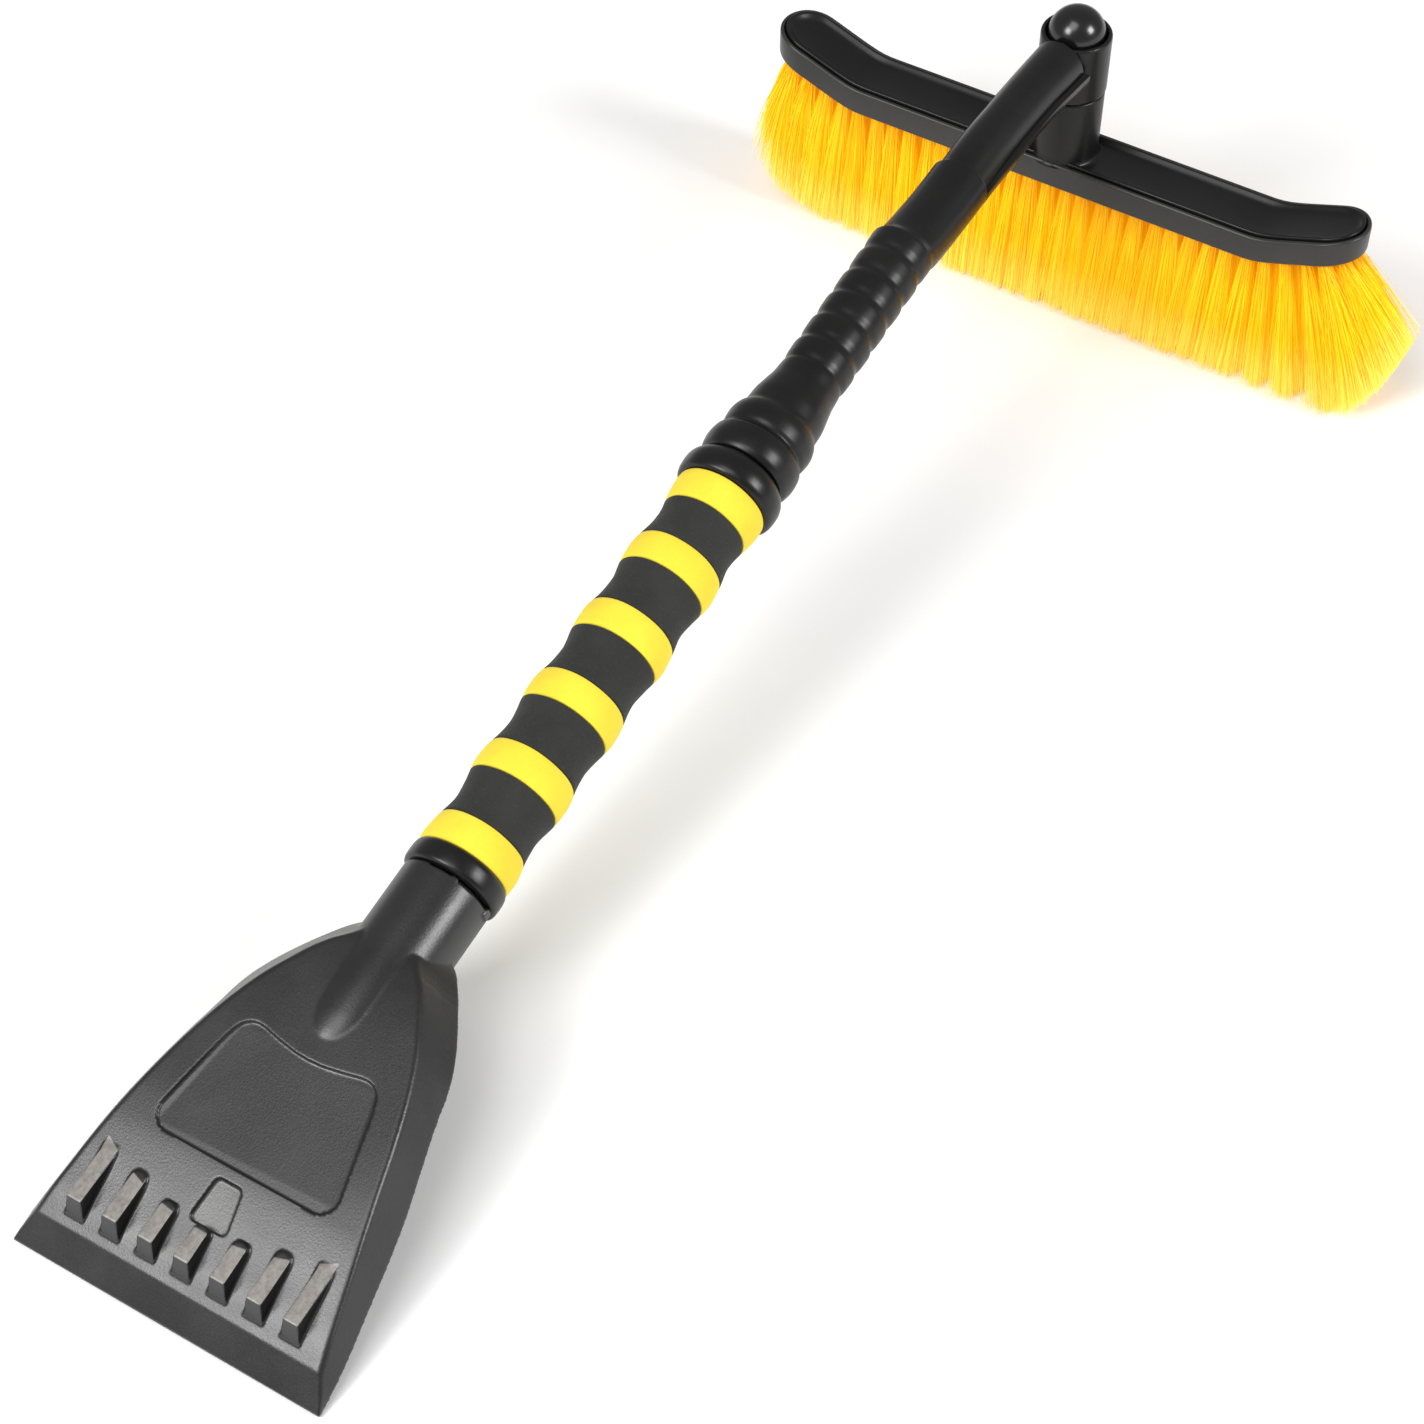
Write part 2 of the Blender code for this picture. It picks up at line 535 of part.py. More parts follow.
def head_loft(half_width, end, section, stations=HEAD_Y):
    """Loft a (u, h) section, given for a half width, along the rising brush head."""
    spots = [y for y in stations if y < end - 1.0] + [end]
    loops = []
    for y in [-y for y in reversed(spots[1:])] + spots:
        width = head_half_width(y, half_width, end)
        rise = lerp_table(RISE, abs(y))
        loops.append([(u, y, h + rise) for u, h in section(width)])
    return loft(loops)


def brush_block():
    def outer(w):
        return [(-w + 1.0, BLOCK_FOOT), (-w, BLOCK_FOOT + 1.2), (-w, BLOCK_TOP - 0.8),
                (-w + 0.7, BLOCK_TOP), (w - 0.7, BLOCK_TOP), (w, BLOCK_TOP - 0.8),
                (w, BLOCK_FOOT + 1.2), (w - 1.0, BLOCK_FOOT)]

    def tray(w):
        return [(-w, BLOCK_FLOOR), (-w, BLOCK_TOP + 6.0), (w, BLOCK_TOP + 6.0), (w, BLOCK_FLOOR)]

    block = piece("brush_block", BRUSH, head_loft(HEAD_W, HEAD_END, outer), BLACK, 40.0)
    boolean(block, piece("block_tray", BRUSH, head_loft(HEAD_W - 2.2, HEAD_END - 2.6, tray)))


def brush_cover():
    def outer(w):
        return [(-w, BLOCK_FLOOR + GAP), (-w, -0.5), (-w + 0.5, 0.2), (w - 0.5, 0.2), (w, -0.5),
                (w, BLOCK_FLOOR + GAP)]

    def dish(w):
        lean = min(2.2, 0.6 * w)
        return [(-w + lean, -2.0), (-w, 0.1), (-w, 6.0), (w, 6.0), (w, 0.1), (w - lean, -2.0)]

    plate = piece("cover_plate", BRUSH, head_loft(HEAD_W - 2.6, HEAD_END - 3.0, outer))
    boolean(plate, piece("cover_dish", BRUSH, head_loft(HEAD_W - 4.2, HEAD_END - 5.0, dish)))
    cover = piece("brush_cover", BRUSH, lathe(
        ((-4.5, 0.0), (-4.5, 12.0), (-0.5, 12.2), (-0.5, 14.9), (0.4, 15.0), (2.0, 14.7),
         (HUB_FOOT - 0.9, 14.7), (HUB_FOOT - GAP, 14.1), (HUB_FOOT - GAP, JOURNAL_R),
         (36.2, JOURNAL_R), (36.2, 10.4), (38.2, 10.4), (38.2, JOURNAL_R),
         (POST_TOP - 0.5, JOURNAL_R), (POST_TOP, JOURNAL_R - 0.5), (POST_TOP, 0.0)), "Z"),
        BLACK, 32.0)
    boolean(cover, plate, "UNION")
    boolean(cover, piece("post_bore", BRUSH, rod(POST_FLOOR, 27.0, 9.2)))
    boolean(cover, spline_cutter("post_spline", 26.0, POST_TOP + 1.0))


def bristle_rows():
    spots = [y for y in HEAD_Y if y < HEAD_END - 6.5]
    for index, root_u in enumerate(ROW_U):
        loops = []
        for y in [-y for y in reversed(spots[1:])] + spots:
            share = y / spots[-1]
            rise = lerp_table(RISE, abs(y))
            spread = max(0.0, (abs(share) - 0.62) / 0.38)
            angle = math.copysign(END_SPREAD, share) * spread
            root_h = BLOCK_FOOT - GAP + rise
            length = (root_h - TIP_H) if spread == 0.0 else (
                BLOCK_FOOT - GAP - TIP_H - 4.5 * spread ** 2 + 0.2 * rise)
            tip_y, tip_h = y + length * math.sin(angle), root_h - length * math.cos(angle)
            tip_u = root_u * ROW_SPLAY
            half = ROW_THICK / 2
            loops.append([(root_u - half, y, root_h), (root_u + half, y, root_h),
                          (tip_u + half * 1.2, tip_y, tip_h), (tip_u - half * 1.2, tip_y, tip_h)])
        piece("bristle_row_%d" % (index + 1), BRUSH, loft(loops), BRISTLE, 20.0)


scraper_head()
grip()
handle_pieces()
brush_arm()
arm_under_cover()
button_pieces()
brush_block()
brush_cover()
bristle_rows()
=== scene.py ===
"""Looks of a car snow brush with an ice scraper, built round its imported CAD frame.

The tool has three moving bodies: the handle with the scraper, foam grip and arm, the brush head
that swivels under the arm's hub, and the release button in that hub. Shapes are drawn in
millimetres in one of two local frames, and end up in metres in the shared frame:

* the handle's frame has X along the handle, with zero where the foam grip begins;
* the brush's frame stands at the middle of the brush head's top face, with Z up its pivot.
"""
from __future__ import annotations

import json
import logging
import math
from dataclasses import dataclass
from enum import Enum
from typing import Callable, Iterable, Sequence

import bmesh
import bpy
import numpy as np
from mathutils import Matrix, Vector


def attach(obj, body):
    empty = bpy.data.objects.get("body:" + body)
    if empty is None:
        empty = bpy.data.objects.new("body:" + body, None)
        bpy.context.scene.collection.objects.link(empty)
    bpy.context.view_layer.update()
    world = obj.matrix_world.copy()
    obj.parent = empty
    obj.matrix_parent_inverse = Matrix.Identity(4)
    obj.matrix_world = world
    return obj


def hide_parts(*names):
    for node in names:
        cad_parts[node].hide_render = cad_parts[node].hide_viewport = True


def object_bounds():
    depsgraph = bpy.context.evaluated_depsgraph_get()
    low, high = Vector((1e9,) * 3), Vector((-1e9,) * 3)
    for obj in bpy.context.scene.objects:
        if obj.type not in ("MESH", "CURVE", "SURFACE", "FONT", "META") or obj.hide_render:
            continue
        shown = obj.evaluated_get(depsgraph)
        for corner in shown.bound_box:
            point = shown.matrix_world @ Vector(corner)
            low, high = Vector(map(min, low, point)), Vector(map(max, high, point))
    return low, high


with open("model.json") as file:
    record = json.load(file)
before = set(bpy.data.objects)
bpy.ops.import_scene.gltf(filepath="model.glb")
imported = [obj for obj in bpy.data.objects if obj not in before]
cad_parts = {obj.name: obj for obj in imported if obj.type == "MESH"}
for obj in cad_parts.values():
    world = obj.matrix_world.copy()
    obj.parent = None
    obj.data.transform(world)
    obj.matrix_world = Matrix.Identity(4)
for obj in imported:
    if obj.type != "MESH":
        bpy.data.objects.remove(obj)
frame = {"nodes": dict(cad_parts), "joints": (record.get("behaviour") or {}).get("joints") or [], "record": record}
CAD_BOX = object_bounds()

LOG = logging.getLogger("snow_brush")
MM = 0.001
Ring = Sequence[Sequence[float]]
Table = Sequence[Sequence[float]]


class Body(Enum):
    """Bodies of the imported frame."""

    HANDLE = "handle"
    BRUSH_HEAD = "brush_head"
    BUTTON = "button"


class Slot(Enum):
    """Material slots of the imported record."""

    SCRAPER = "scraper_plastic"
    YELLOW_FOAM = "yellow_foam"
    BLACK_FOAM = "black_foam"
    TUBE = "tube_aluminium"
    COLLAR = "collar_plastic"
    ARM = "arm_plastic"
    STEEL = "plated_steel"
    BUTTON = "button_gloss"
    COG = "cog_plastic"
    COVER = "cover_plastic"
    BLOCK = "block_plastic"
    BRISTLE = "bristle_fibre"


class Cut(Enum):
    """Boolean operations."""

    JOIN = "UNION"
    REMOVE = "DIFFERENCE"


# --- Local frames and curves -----------------------------------------------------------------


@dataclass(frozen=True)
class LocalFrame:
    """A frame in which pieces are drawn in millimetres."""

    matrix: Matrix

    @classmethod
    def handle(cls, record: dict) -> "LocalFrame":
        """Finds the handle's frame.

        Args:
            record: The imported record, whose holder_clip_zone mount lies on the handle's axis.

        Returns:
            The frame whose X axis runs along the handle, toward the brush.
        """
        mount = next(m for m in record["mounts"] if m["name"] == "holder_clip_zone")
        along = -Vector(mount["axis"]).normalized()
        side = Vector((0.0, 1.0, 0.0))
        origin = Vector(mount["pos_m"]) - along * (CLIP_ZONE_AT * MM)
        return cls(cls._matrix(along, side, along.cross(side), origin))

    @classmethod
    def brush(cls, joints: Sequence[dict]) -> "LocalFrame":
        """Finds the brush's frame.

        Args:
            joints: The frame's joints, of which brush_swivel stands on the pivot.

        Returns:
            The frame at the middle of the brush head's top face.
        """
        swivel = next(j for j in joints if j["name"] == "brush_swivel")
        origin = Vector(swivel["pos_m"]) - Vector((0.0, 0.0, SWIVEL_HEIGHT * MM))
        return cls(cls._matrix(Vector((1, 0, 0)), Vector((0, 1, 0)), Vector((0, 0, 1)), origin))

    @staticmethod
    def _matrix(x: Vector, y: Vector, z: Vector, origin: Vector) -> Matrix:
        """Builds the matrix from local millimetres to shared metres."""
        turn = Matrix((x, y, z)).transposed().to_4x4()
        return Matrix.Translation(origin) @ turn @ Matrix.Scale(MM, 4)

    def point(self, x: float, y: float, z: float) -> Vector:
        """Gives a local point in the shared frame."""
        return self.matrix @ Vector((x, y, z))


CLIP_ZONE_AT = -21.0
SWIVEL_HEIGHT = 30.0


def smooth_table(table: Table, x: float, column: int = 1) -> float:
    """Reads a table along a smooth curve that never overshoots its rows.

    Args:
        table: Rows that start with their position, in rising order.
        x: Where to read.
        column: Which column to read.

    Returns:
        The value at x.
    """
    places = [row[0] for row in table]
    if x <= places[0]:
        return table[0][column]
    if x >= places[-1]:
        return table[-1][column]
    k = max(i for i, place in enumerate(places) if place <= x)
    slopes = [(table[i + 1][column] - table[i][column]) / (places[i + 1] - places[i])
              for i in range(len(table) - 1)]

    def tangent(i: int) -> float:
        """Slope of the curve at one row."""
        if i in (0, len(table) - 1):
            return slopes[min(i, len(slopes) - 1)]
        before, after = slopes[i - 1], slopes[i]
        return 0.0 if before * after <= 0 else 2 * before * after / (before + after)

    width = places[k + 1] - places[k]
    t = (x - places[k]) / width
    a, b = table[k][column], table[k + 1][column]
    return (a * (1 + 2 * t) * (1 - t) ** 2 + b * t * t * (3 - 2 * t)
            + width * (tangent(k) * t * (1 - t) ** 2 - tangent(k + 1) * t * t * (1 - t)))


def stations(start: float, end: float, step: float) -> list[float]:
    """Spaces positions evenly, at most a step apart."""
    count = max(1, math.ceil(abs(end - start) / step))
    return [start + (end - start) * k / count for k in range(count + 1)]


# --- Modelling -------------------------------------------------------------------------------


class Bench:
    """The modelling steps that every piece is made with."""

    def clear(self) -> None:
        """Deselects everything."""
        bpy.ops.object.select_all(action="DESELECT")

    def pick(self, body: bpy.types.Object) -> None:
        """Selects one object alone and makes it active."""
        self.clear()
        body.select_set(True)
        bpy.context.view_layer.objects.active = body

    def sweep(self, name: str, rings: Sequence[Ring], closed: bool = False) -> bpy.types.Object:
        """Extrudes a ring of points from place to place, and fills both ends.

        Args:
            name: Name of the object.
            rings: Rings with the same number of points; one may shrink to a point or a line.
            closed: Whether the last ring joins the first, as round a hoop.

        Returns:
            A closed mesh object.
        """
        self.clear()
        count = len(rings[0])
        bpy.ops.mesh.primitive_circle_add(vertices=count, radius=1.0)
        body = bpy.context.object
        body.name = name
        order = body.data.attributes.new("order", "INT", "POINT")
        order.data.foreach_set("value", list(range(count)))
        bpy.ops.object.mode_set(mode="EDIT")
        bpy.ops.mesh.select_all(action="SELECT")
        course = [*rings, rings[0]] if closed else rings
        for index, ring in enumerate(course):
            if index:
                bpy.ops.mesh.extrude_edges_move()
            mesh = bmesh.from_edit_mesh(body.data)
            layer = mesh.verts.layers.int["order"]
            for vert in mesh.verts:
                if vert.select:
                    vert.co = ring[vert[layer]]
            bmesh.update_edit_mesh(body.data)
        bpy.ops.mesh.select_all(action="SELECT")
        bpy.ops.mesh.remove_doubles(threshold=1e-4)
        bpy.ops.mesh.select_all(action="SELECT")
        bpy.ops.mesh.fill_holes(sides=0)
        bpy.ops.mesh.select_all(action="SELECT")
        bpy.ops.mesh.normals_make_consistent(inside=False)
        bpy.ops.object.mode_set(mode="OBJECT")
        body.data.attributes.remove(body.data.attributes["order"])
        return body

    def lathe(self, name: str, profile: Table, along: str = "Z", points: int = 72,
              closed: bool = False) -> bpy.types.Object:
        """Turns a profile about the local X or Z axis.

        Args:
            name: Name of the object.
            profile: Rows of (position along the axis, radius).
            along: "X" or "Z".
            points: Points round each ring.
            closed: Whether the profile closes on itself, as for a hoop.

        Returns:
            A closed mesh object.
        """
        rings = [round_ring(place, radius, points, along) for place, radius in profile]
        return self.sweep(name, rings, closed)

    def block(self, name: str, low: Sequence[float], high: Sequence[float]) -> bpy.types.Object:
        """Makes a plain cutting or joining block between two corners."""
        self.clear()
        bpy.ops.mesh.primitive_cube_add(size=1.0)
        body = bpy.context.object
        body.name = name
        low, high = Vector(low), Vector(high)
        body.location, body.scale = (low + high) / 2, high - low
        bpy.ops.object.transform_apply(location=True, rotation=False, scale=True)
        return body

    def combine(self, target: bpy.types.Object, tool: bpy.types.Object, cut: Cut) -> None:
        """Joins a tool to the target or cuts it away, and discards the tool.

        Args:
            target: The body that is changed.
            tool: The other body.
            cut: What to do.
        """
        self.pick(target)
        modifier = target.modifiers.new(cut.name.lower(), "BOOLEAN")
        modifier.operation = cut.value
        modifier.solver = "EXACT"
        modifier.object = tool
        bpy.ops.object.modifier_apply(modifier=modifier.name)
        bpy.data.objects.remove(tool)

    def place(self, body: bpy.types.Object, local: LocalFrame) -> None:
        """Moves a body drawn in local millimetres to its place in the shared frame."""
        self.pick(body)
        body.matrix_world = local.matrix
        bpy.ops.object.transform_apply(location=True, rotation=True, scale=True)

    def even_skin(self, body: bpy.types.Object, size: float, budget: int,
                  blends: Sequence[tuple[Sequence[float], float, int]] = ()) -> None:
        """Rounds every edge as a mould does: re-skins the body, softens it and thins it.

        Args:
            body: The body, drawn in millimetres.
            size: Distance between the points of the new skin.
            budget: Most triangles to keep.
            blends: Rows of (centre, reach, rounds) where a wide fillet is worked in.
        """
        self.pick(body)
        remesh = body.modifiers.new("skin", "REMESH")
        remesh.mode, remesh.voxel_size = "VOXEL", size
        bpy.ops.object.modifier_apply(modifier=remesh.name)
        for index, (centre, reach, rounds) in enumerate(blends):
            group = body.vertex_groups.new(name=f"blend_{index}")
            spots = np.empty(len(body.data.vertices) * 3, np.float32)
            body.data.vertices.foreach_get("co", spots)
            away = np.abs(spots.reshape(-1, 3) - np.array(centre[:3], np.float32))
            weight = np.clip(1.6 * (1.0 - np.linalg.norm(away / np.array(reach), axis=1)), 0, 1)
            for level in np.unique(np.round(weight[weight > 0], 1)):
                chosen = np.nonzero(np.abs(np.round(weight, 1) - level) < 0.01)[0]
                if level > 0:
                    group.add(chosen.tolist(), float(level), "REPLACE")
            smooth = body.modifiers.new(f"blend_{index}", "SMOOTH")
            smooth.factor, smooth.iterations, smooth.vertex_group = 0.5, rounds, group.name
            bpy.ops.object.modifier_apply(modifier=smooth.name)
        soften = body.modifiers.new("soften", "SMOOTH")
        soften.factor, soften.iterations = 0.5, 4
        bpy.ops.object.modifier_apply(modifier=soften.name)
        faces = sum(len(face.vertices) - 2 for face in body.data.polygons)
        if faces > budget:
            thin = body.modifiers.new("thin", "DECIMATE")
            thin.ratio = budget / faces
            bpy.ops.object.modifier_apply(modifier=thin.name)
        body.vertex_groups.clear()

    def smooth(self, body: bpy.types.Object, angle: float = 40.0) -> None:
        """Shades a body smooth except across sharp edges."""
        self.pick(body)
        bpy.ops.object.shade_smooth_by_angle(angle=math.radians(angle))


def round_ring(place: float, radius: float, points: int, along: str = "X",
               sink: float = 0.0) -> list[tuple[float, float, float]]:
    """Makes a ring of points round an axis.

    Args:
        place: Position along the axis.
        radius: Radius of the ring.
        points: Number of points.
        along: "X" or "Z".
        sink: How far the ring's centre lies above the axis, for rings along X.

    Returns:
        The ring's points.
    """
    turns = [2 * math.pi * k / points for k in range(points)]
    if along == "X":
        return [(place, radius * math.cos(t), radius * math.sin(t) + sink) for t in turns]
    return [(radius * math.cos(t), radius * math.sin(t), place) for t in turns]


BENCH = Bench()


def settle(body: bpy.types.Object, rides: Body, finish: bpy.types.Material,
           replaces: Iterable[str] = ()) -> None:
    """Hands a finished piece to the frame.

    Args:
        body: The piece, in the shared frame.
        rides: The body that it moves with.
        finish: Its material.
        replaces: CAD nodes that it stands for.
    """
    body.data.materials.clear()
    body.data.materials.append(finish)
    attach(body, rides.value)
    names = list(replaces)
    if names:
        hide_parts(*names)
    faces = sum(len(face.vertices) - 2 for face in body.data.polygons)
    LOG.info("%s: %d triangles, rides on %s", body.name, faces, rides.value)


# --- Shader graphs ---------------------------------------------------------------------------


class Signal:
    """A number socket of a shader graph, on which Python's operators add Math nodes."""

    def __init__(self, graph: "Graph", socket: bpy.types.NodeSocket) -> None:
        """Wraps a socket of a graph."""
        self.graph = graph
        self.socket = socket

    def _math(self, operation: str, *values: "Signal | float", clamp: bool = False) -> "Signal":
        """Adds one Math node and gives its result."""
        inputs = {index: value for index, value in enumerate(values)}
        settings = {"operation": operation, "use_clamp": clamp}
        return self.graph.signal("ShaderNodeMath", settings, inputs)

    def __add__(self, other: "Signal | float") -> "Signal":
        """self + other."""
        return self._math("ADD", self, other)

    def __radd__(self, other: float) -> "Signal":
        """other + self."""
        return self._math("ADD", other, self)

    def __sub__(self, other: "Signal | float") -> "Signal":
        """self - other."""
        return self._math("SUBTRACT", self, other)

    def __rsub__(self, other: float) -> "Signal":
        """other - self."""
        return self._math("SUBTRACT", other, self)

    def __mul__(self, other: "Signal | float") -> "Signal":
        """self * other."""
        return self._math("MULTIPLY", self, other)

    def __rmul__(self, other: float) -> "Signal":
        """other * self."""
        return self._math("MULTIPLY", other, self)

    def size(self) -> "Signal":
        """The value without its sign."""
        return self._math("ABSOLUTE", self)

    def wrap(self, low: float, high: float) -> "Signal":
        """The value carried into a range, so that a pattern repeats."""
        return self._math("WRAP", self, high, low)

    def clamped(self) -> "Signal":
        """The value held between 0 and 1."""
        return self._math("ADD", self, 0.0, clamp=True)

    def step(self, low: float, high: float) -> "Signal":
        """A smooth step from 0 at low to 1 at high."""
        settings = {"interpolation_type": "SMOOTHSTEP"}
        inputs = {"Value": self, "From Min": low, "From Max": high}
        return self.graph.signal("ShaderNodeMapRange", settings, inputs, "Result")


class Graph:
    """The node graph of one material, with its Principled shader."""

    def __init__(self, name: str) -> None:
        """Starts a material with this name."""
        self.material = bpy.data.materials.new(name)
        self.material.use_nodes = True
        self.tree = self.material.node_tree
        self.shader = self.tree.nodes["Principled BSDF"]

    def node(self, kind: str, settings: dict | None = None,
             inputs: dict | None = None) -> bpy.types.Node:
        """Adds any node.

        Args:
            kind: The node's type.
            settings: Attributes, set before the inputs.
            inputs: Values, signals or sockets, by the name or number of the input.

        Returns:
            The node.
        """
        made = self.tree.nodes.new(kind)
        for key, value in (settings or {}).items():
            setattr(made, key, value)
        for key, value in (inputs or {}).items():
            self.feed(made.inputs[key], value)
        return made

    def feed(self, socket: bpy.types.NodeSocket, value: object) -> None:
        """Sets an input socket to a value, or links it."""
        if isinstance(value, Signal):
            value = value.socket
        if isinstance(value, bpy.types.NodeSocket):
            self.tree.links.new(value, socket)
        elif isinstance(value, tuple) and len(value) == 3 and socket.type == "RGBA":
            socket.default_value = (*value, 1.0)
        else:
            socket.default_value = value

    def signal(self, kind: str, settings: dict | None = None, inputs: dict | None = None,
               output: str | int = 0) -> Signal:
        """Adds a node and gives one of its outputs as a signal."""
        return Signal(self, self.node(kind, settings, inputs).outputs[output])

    def place(self, scale: tuple[float, float, float] = (1.0, 1.0, 1.0),
              local: LocalFrame | None = None) -> bpy.types.NodeSocket:
        """Gives object coordinates, in metres, that may be turned into a local frame.

        Args:
            scale: Stretch along each axis after the turn.
            local: The local frame whose axes the pattern follows.

        Returns:
            A vector socket.
        """
        vector = self.node("ShaderNodeTexCoord").outputs["Object"]
        if local is not None:
            turn = local.matrix.to_quaternion().inverted()
            vector = self.node("ShaderNodeMapping", None, {
                "Vector": vector, "Rotation": tuple(turn.to_euler()),
                "Location": tuple(turn @ -local.matrix.translation)}).outputs["Vector"]
        if scale != (1.0, 1.0, 1.0):
            vector = self.node("ShaderNodeMapping", None, {
                "Vector": vector, "Scale": scale}).outputs["Vector"]
        return vector

    def axes(self, local: LocalFrame) -> tuple[Signal, Signal, Signal]:
        """Gives the place in a local frame, in millimetres, axis by axis."""
        split = self.node("ShaderNodeSeparateXYZ", None, {"Vector": self.place(local=local)})
        return tuple(Signal(self, split.outputs[axis]) * 1000.0 for axis in "XYZ")

    def noise(self, vector: bpy.types.NodeSocket, scale: float, detail: float = 2.0,
              roughness: float = 0.5) -> Signal:
        """Adds a noise texture and gives its value."""
        inputs = {"Vector": vector, "Scale": scale, "Detail": detail, "Roughness": roughness}
        return self.signal("ShaderNodeTexNoise", None, inputs, "Fac")

    def cells(self, vector: bpy.types.NodeSocket, scale: float) -> Signal:
        """Adds a cell texture and gives the distance to the nearest cell's middle."""
        inputs = {"Vector": vector, "Scale": scale}
        return self.signal("ShaderNodeTexVoronoi", None, inputs, "Distance")

    def mix(self, factor: Signal | float, one: object, two: object) -> bpy.types.NodeSocket:
        """Blends two colours."""
        made = self.node("ShaderNodeMix", {"data_type": "RGBA"}, {
            0: factor, 6: one, 7: two})
        return made.outputs[2]

    def set(self, **values: object) -> None:
        """Sets the shader's sockets, with underscores for the spaces in their names."""
        for key, value in values.items():
            self.feed(self.shader.inputs[key.replace("_", " ")], value)

    def bump(self, height: Signal, strength: float, distance: float) -> None:
        """Raises the surface by a height signal."""
        made = self.node("ShaderNodeBump", None, {
            "Height": height, "Strength": strength, "Distance": distance})
        self.set(Normal=made.outputs["Normal"])


# --- Finishes --------------------------------------------------------------------------------


@dataclass(frozen=True)
class MouldedPlastic:
    """Black or grey moulded plastic with a mould grain, rubbed shine and faint dust."""

    name: str
    colour: tuple[float, float, float]
    rubbed: tuple[float, float, float]
    roughness: float
    grain: float
    grain_depth: float
    specular: float = 0.3
    coat: float = 0.0

    def material(self) -> bpy.types.Material:
        """Builds the material."""
        g = Graph(self.name)
        where = g.place()
        fine = g.noise(where, self.grain, 3.0, 0.65)
        broad = g.noise(where, 38.0, 3.0, 0.55)
        speck = g.cells(where, self.grain * 0.8)
        tone = (0.55 * broad + 0.45 * fine).step(0.36, 0.66)
        dust = g.noise(where, 210.0, 4.0, 0.7).step(0.60, 0.78) * 0.35
        base = self.tint(g, g.mix(tone, self.colour, self.rubbed))
        dusty = tuple(0.8 * value + 0.012 for value in self.rubbed)
        g.set(Base_Color=g.mix(dust, base, dusty),
              Roughness=self.roughness + 0.16 * (broad - 0.5) + 0.10 * (fine - 0.5) + 0.08 * dust,
              Coat_Weight=self.coat, Coat_Roughness=0.05,
              Specular_IOR_Level=self.specular)
        g.bump(0.7 * fine + 0.3 * speck, 1.0, self.grain_depth)
        return g.material

    def tint(self, g: Graph, base: bpy.types.NodeSocket) -> bpy.types.NodeSocket:
        """Changes the base colour from place to place; plain plastic has no such places."""
        return base


@dataclass(frozen=True)
class ScraperPlastic(MouldedPlastic):
    """The scraper's plastic, with a painted highlight and scuffed wear on the teeth's crowns, and paler in the
    small recess.
    """

    local: LocalFrame | None = None
    # crown: painted highlight colour for the teeth's crowns, varied by scuff noise for wear
    crown: tuple[float, float, float] = (0.25, 0.232, 0.212)
    floor: tuple[float, float, float] = (0.060, 0.060, 0.055)

    def tint(self, g: Graph, base: bpy.types.NodeSocket) -> bpy.types.NodeSocket:
        """Lays the painted highlight and wear on the teeth's crowns, and the paler recess, over the base colour.
        """
        s, y, z = g.axes(self.local)
        scuffs = g.noise(g.place(), 420.0, 4.0, 0.7).step(0.25, 0.7)
        side = y.size()
        off_middle = (y.wrap(-7.425, 7.425)).size()
        back = -154.0 + 0.00554 * side * side
        # Painted highlight on the teeth's crowns; the scuff noise breaks it up as wear
        teeth = (z.step(3.55, 3.85) * (1.0 - (s - back).step(-1.9, -1.2))
                 * (1.0 - off_middle.step(2.75, 3.1)) * (0.55 + 0.45 * scuffs))
        inside = s.step(-153.2, -152.8) * (1.0 - s.step(-138.2, -137.8))
        inside = inside * (1.0 - (side + 0.14 * (s + 152.0)).step(7.0, 7.4))
        recess = inside * (1.0 - (z + 0.13 * (s + 153.0)).step(2.0, 9.0))
        crown_wear_and_highlight = g.mix(teeth.clamped(), base, self.crown)
        return g.mix(recess.clamped() * 0.8, crown_wear_and_highlight, self.floor)


@dataclass(frozen=True)
class FoamSkin:
    """Closed-cell foam with a matt skin of fine open pores."""

    name: str
    colour: tuple[float, float, float]
    shade: tuple[float, float, float]
    speck: tuple[float, float, float]
    depth: float

    def material(self) -> bpy.types.Material:
        """Builds the material."""
        g = Graph(self.name)
        where = g.place()
        pores = 1.0 - g.cells(where, 1500.0).step(0.05, 0.42)
        cloud = g.noise(where, 60.0, 3.0, 0.55)
        fine = g.noise(where, 900.0, 3.0, 0.7)
        base = g.mix(cloud.step(0.3, 0.75), self.colour, self.shade)
        spots = (fine.step(0.55, 0.75) * 0.6 + pores * 0.4).clamped()
        g.set(Base_Color=g.mix(spots * 0.5, base, self.speck),
              Roughness=0.82 + 0.12 * (fine - 0.5), Sheen_Weight=0.08, Sheen_Roughness=0.45,
              Specular_IOR_Level=0.3)
        g.bump(0.6 * fine - 0.7 * pores + 0.5 * cloud, 1.0, self.depth)
        return g.material


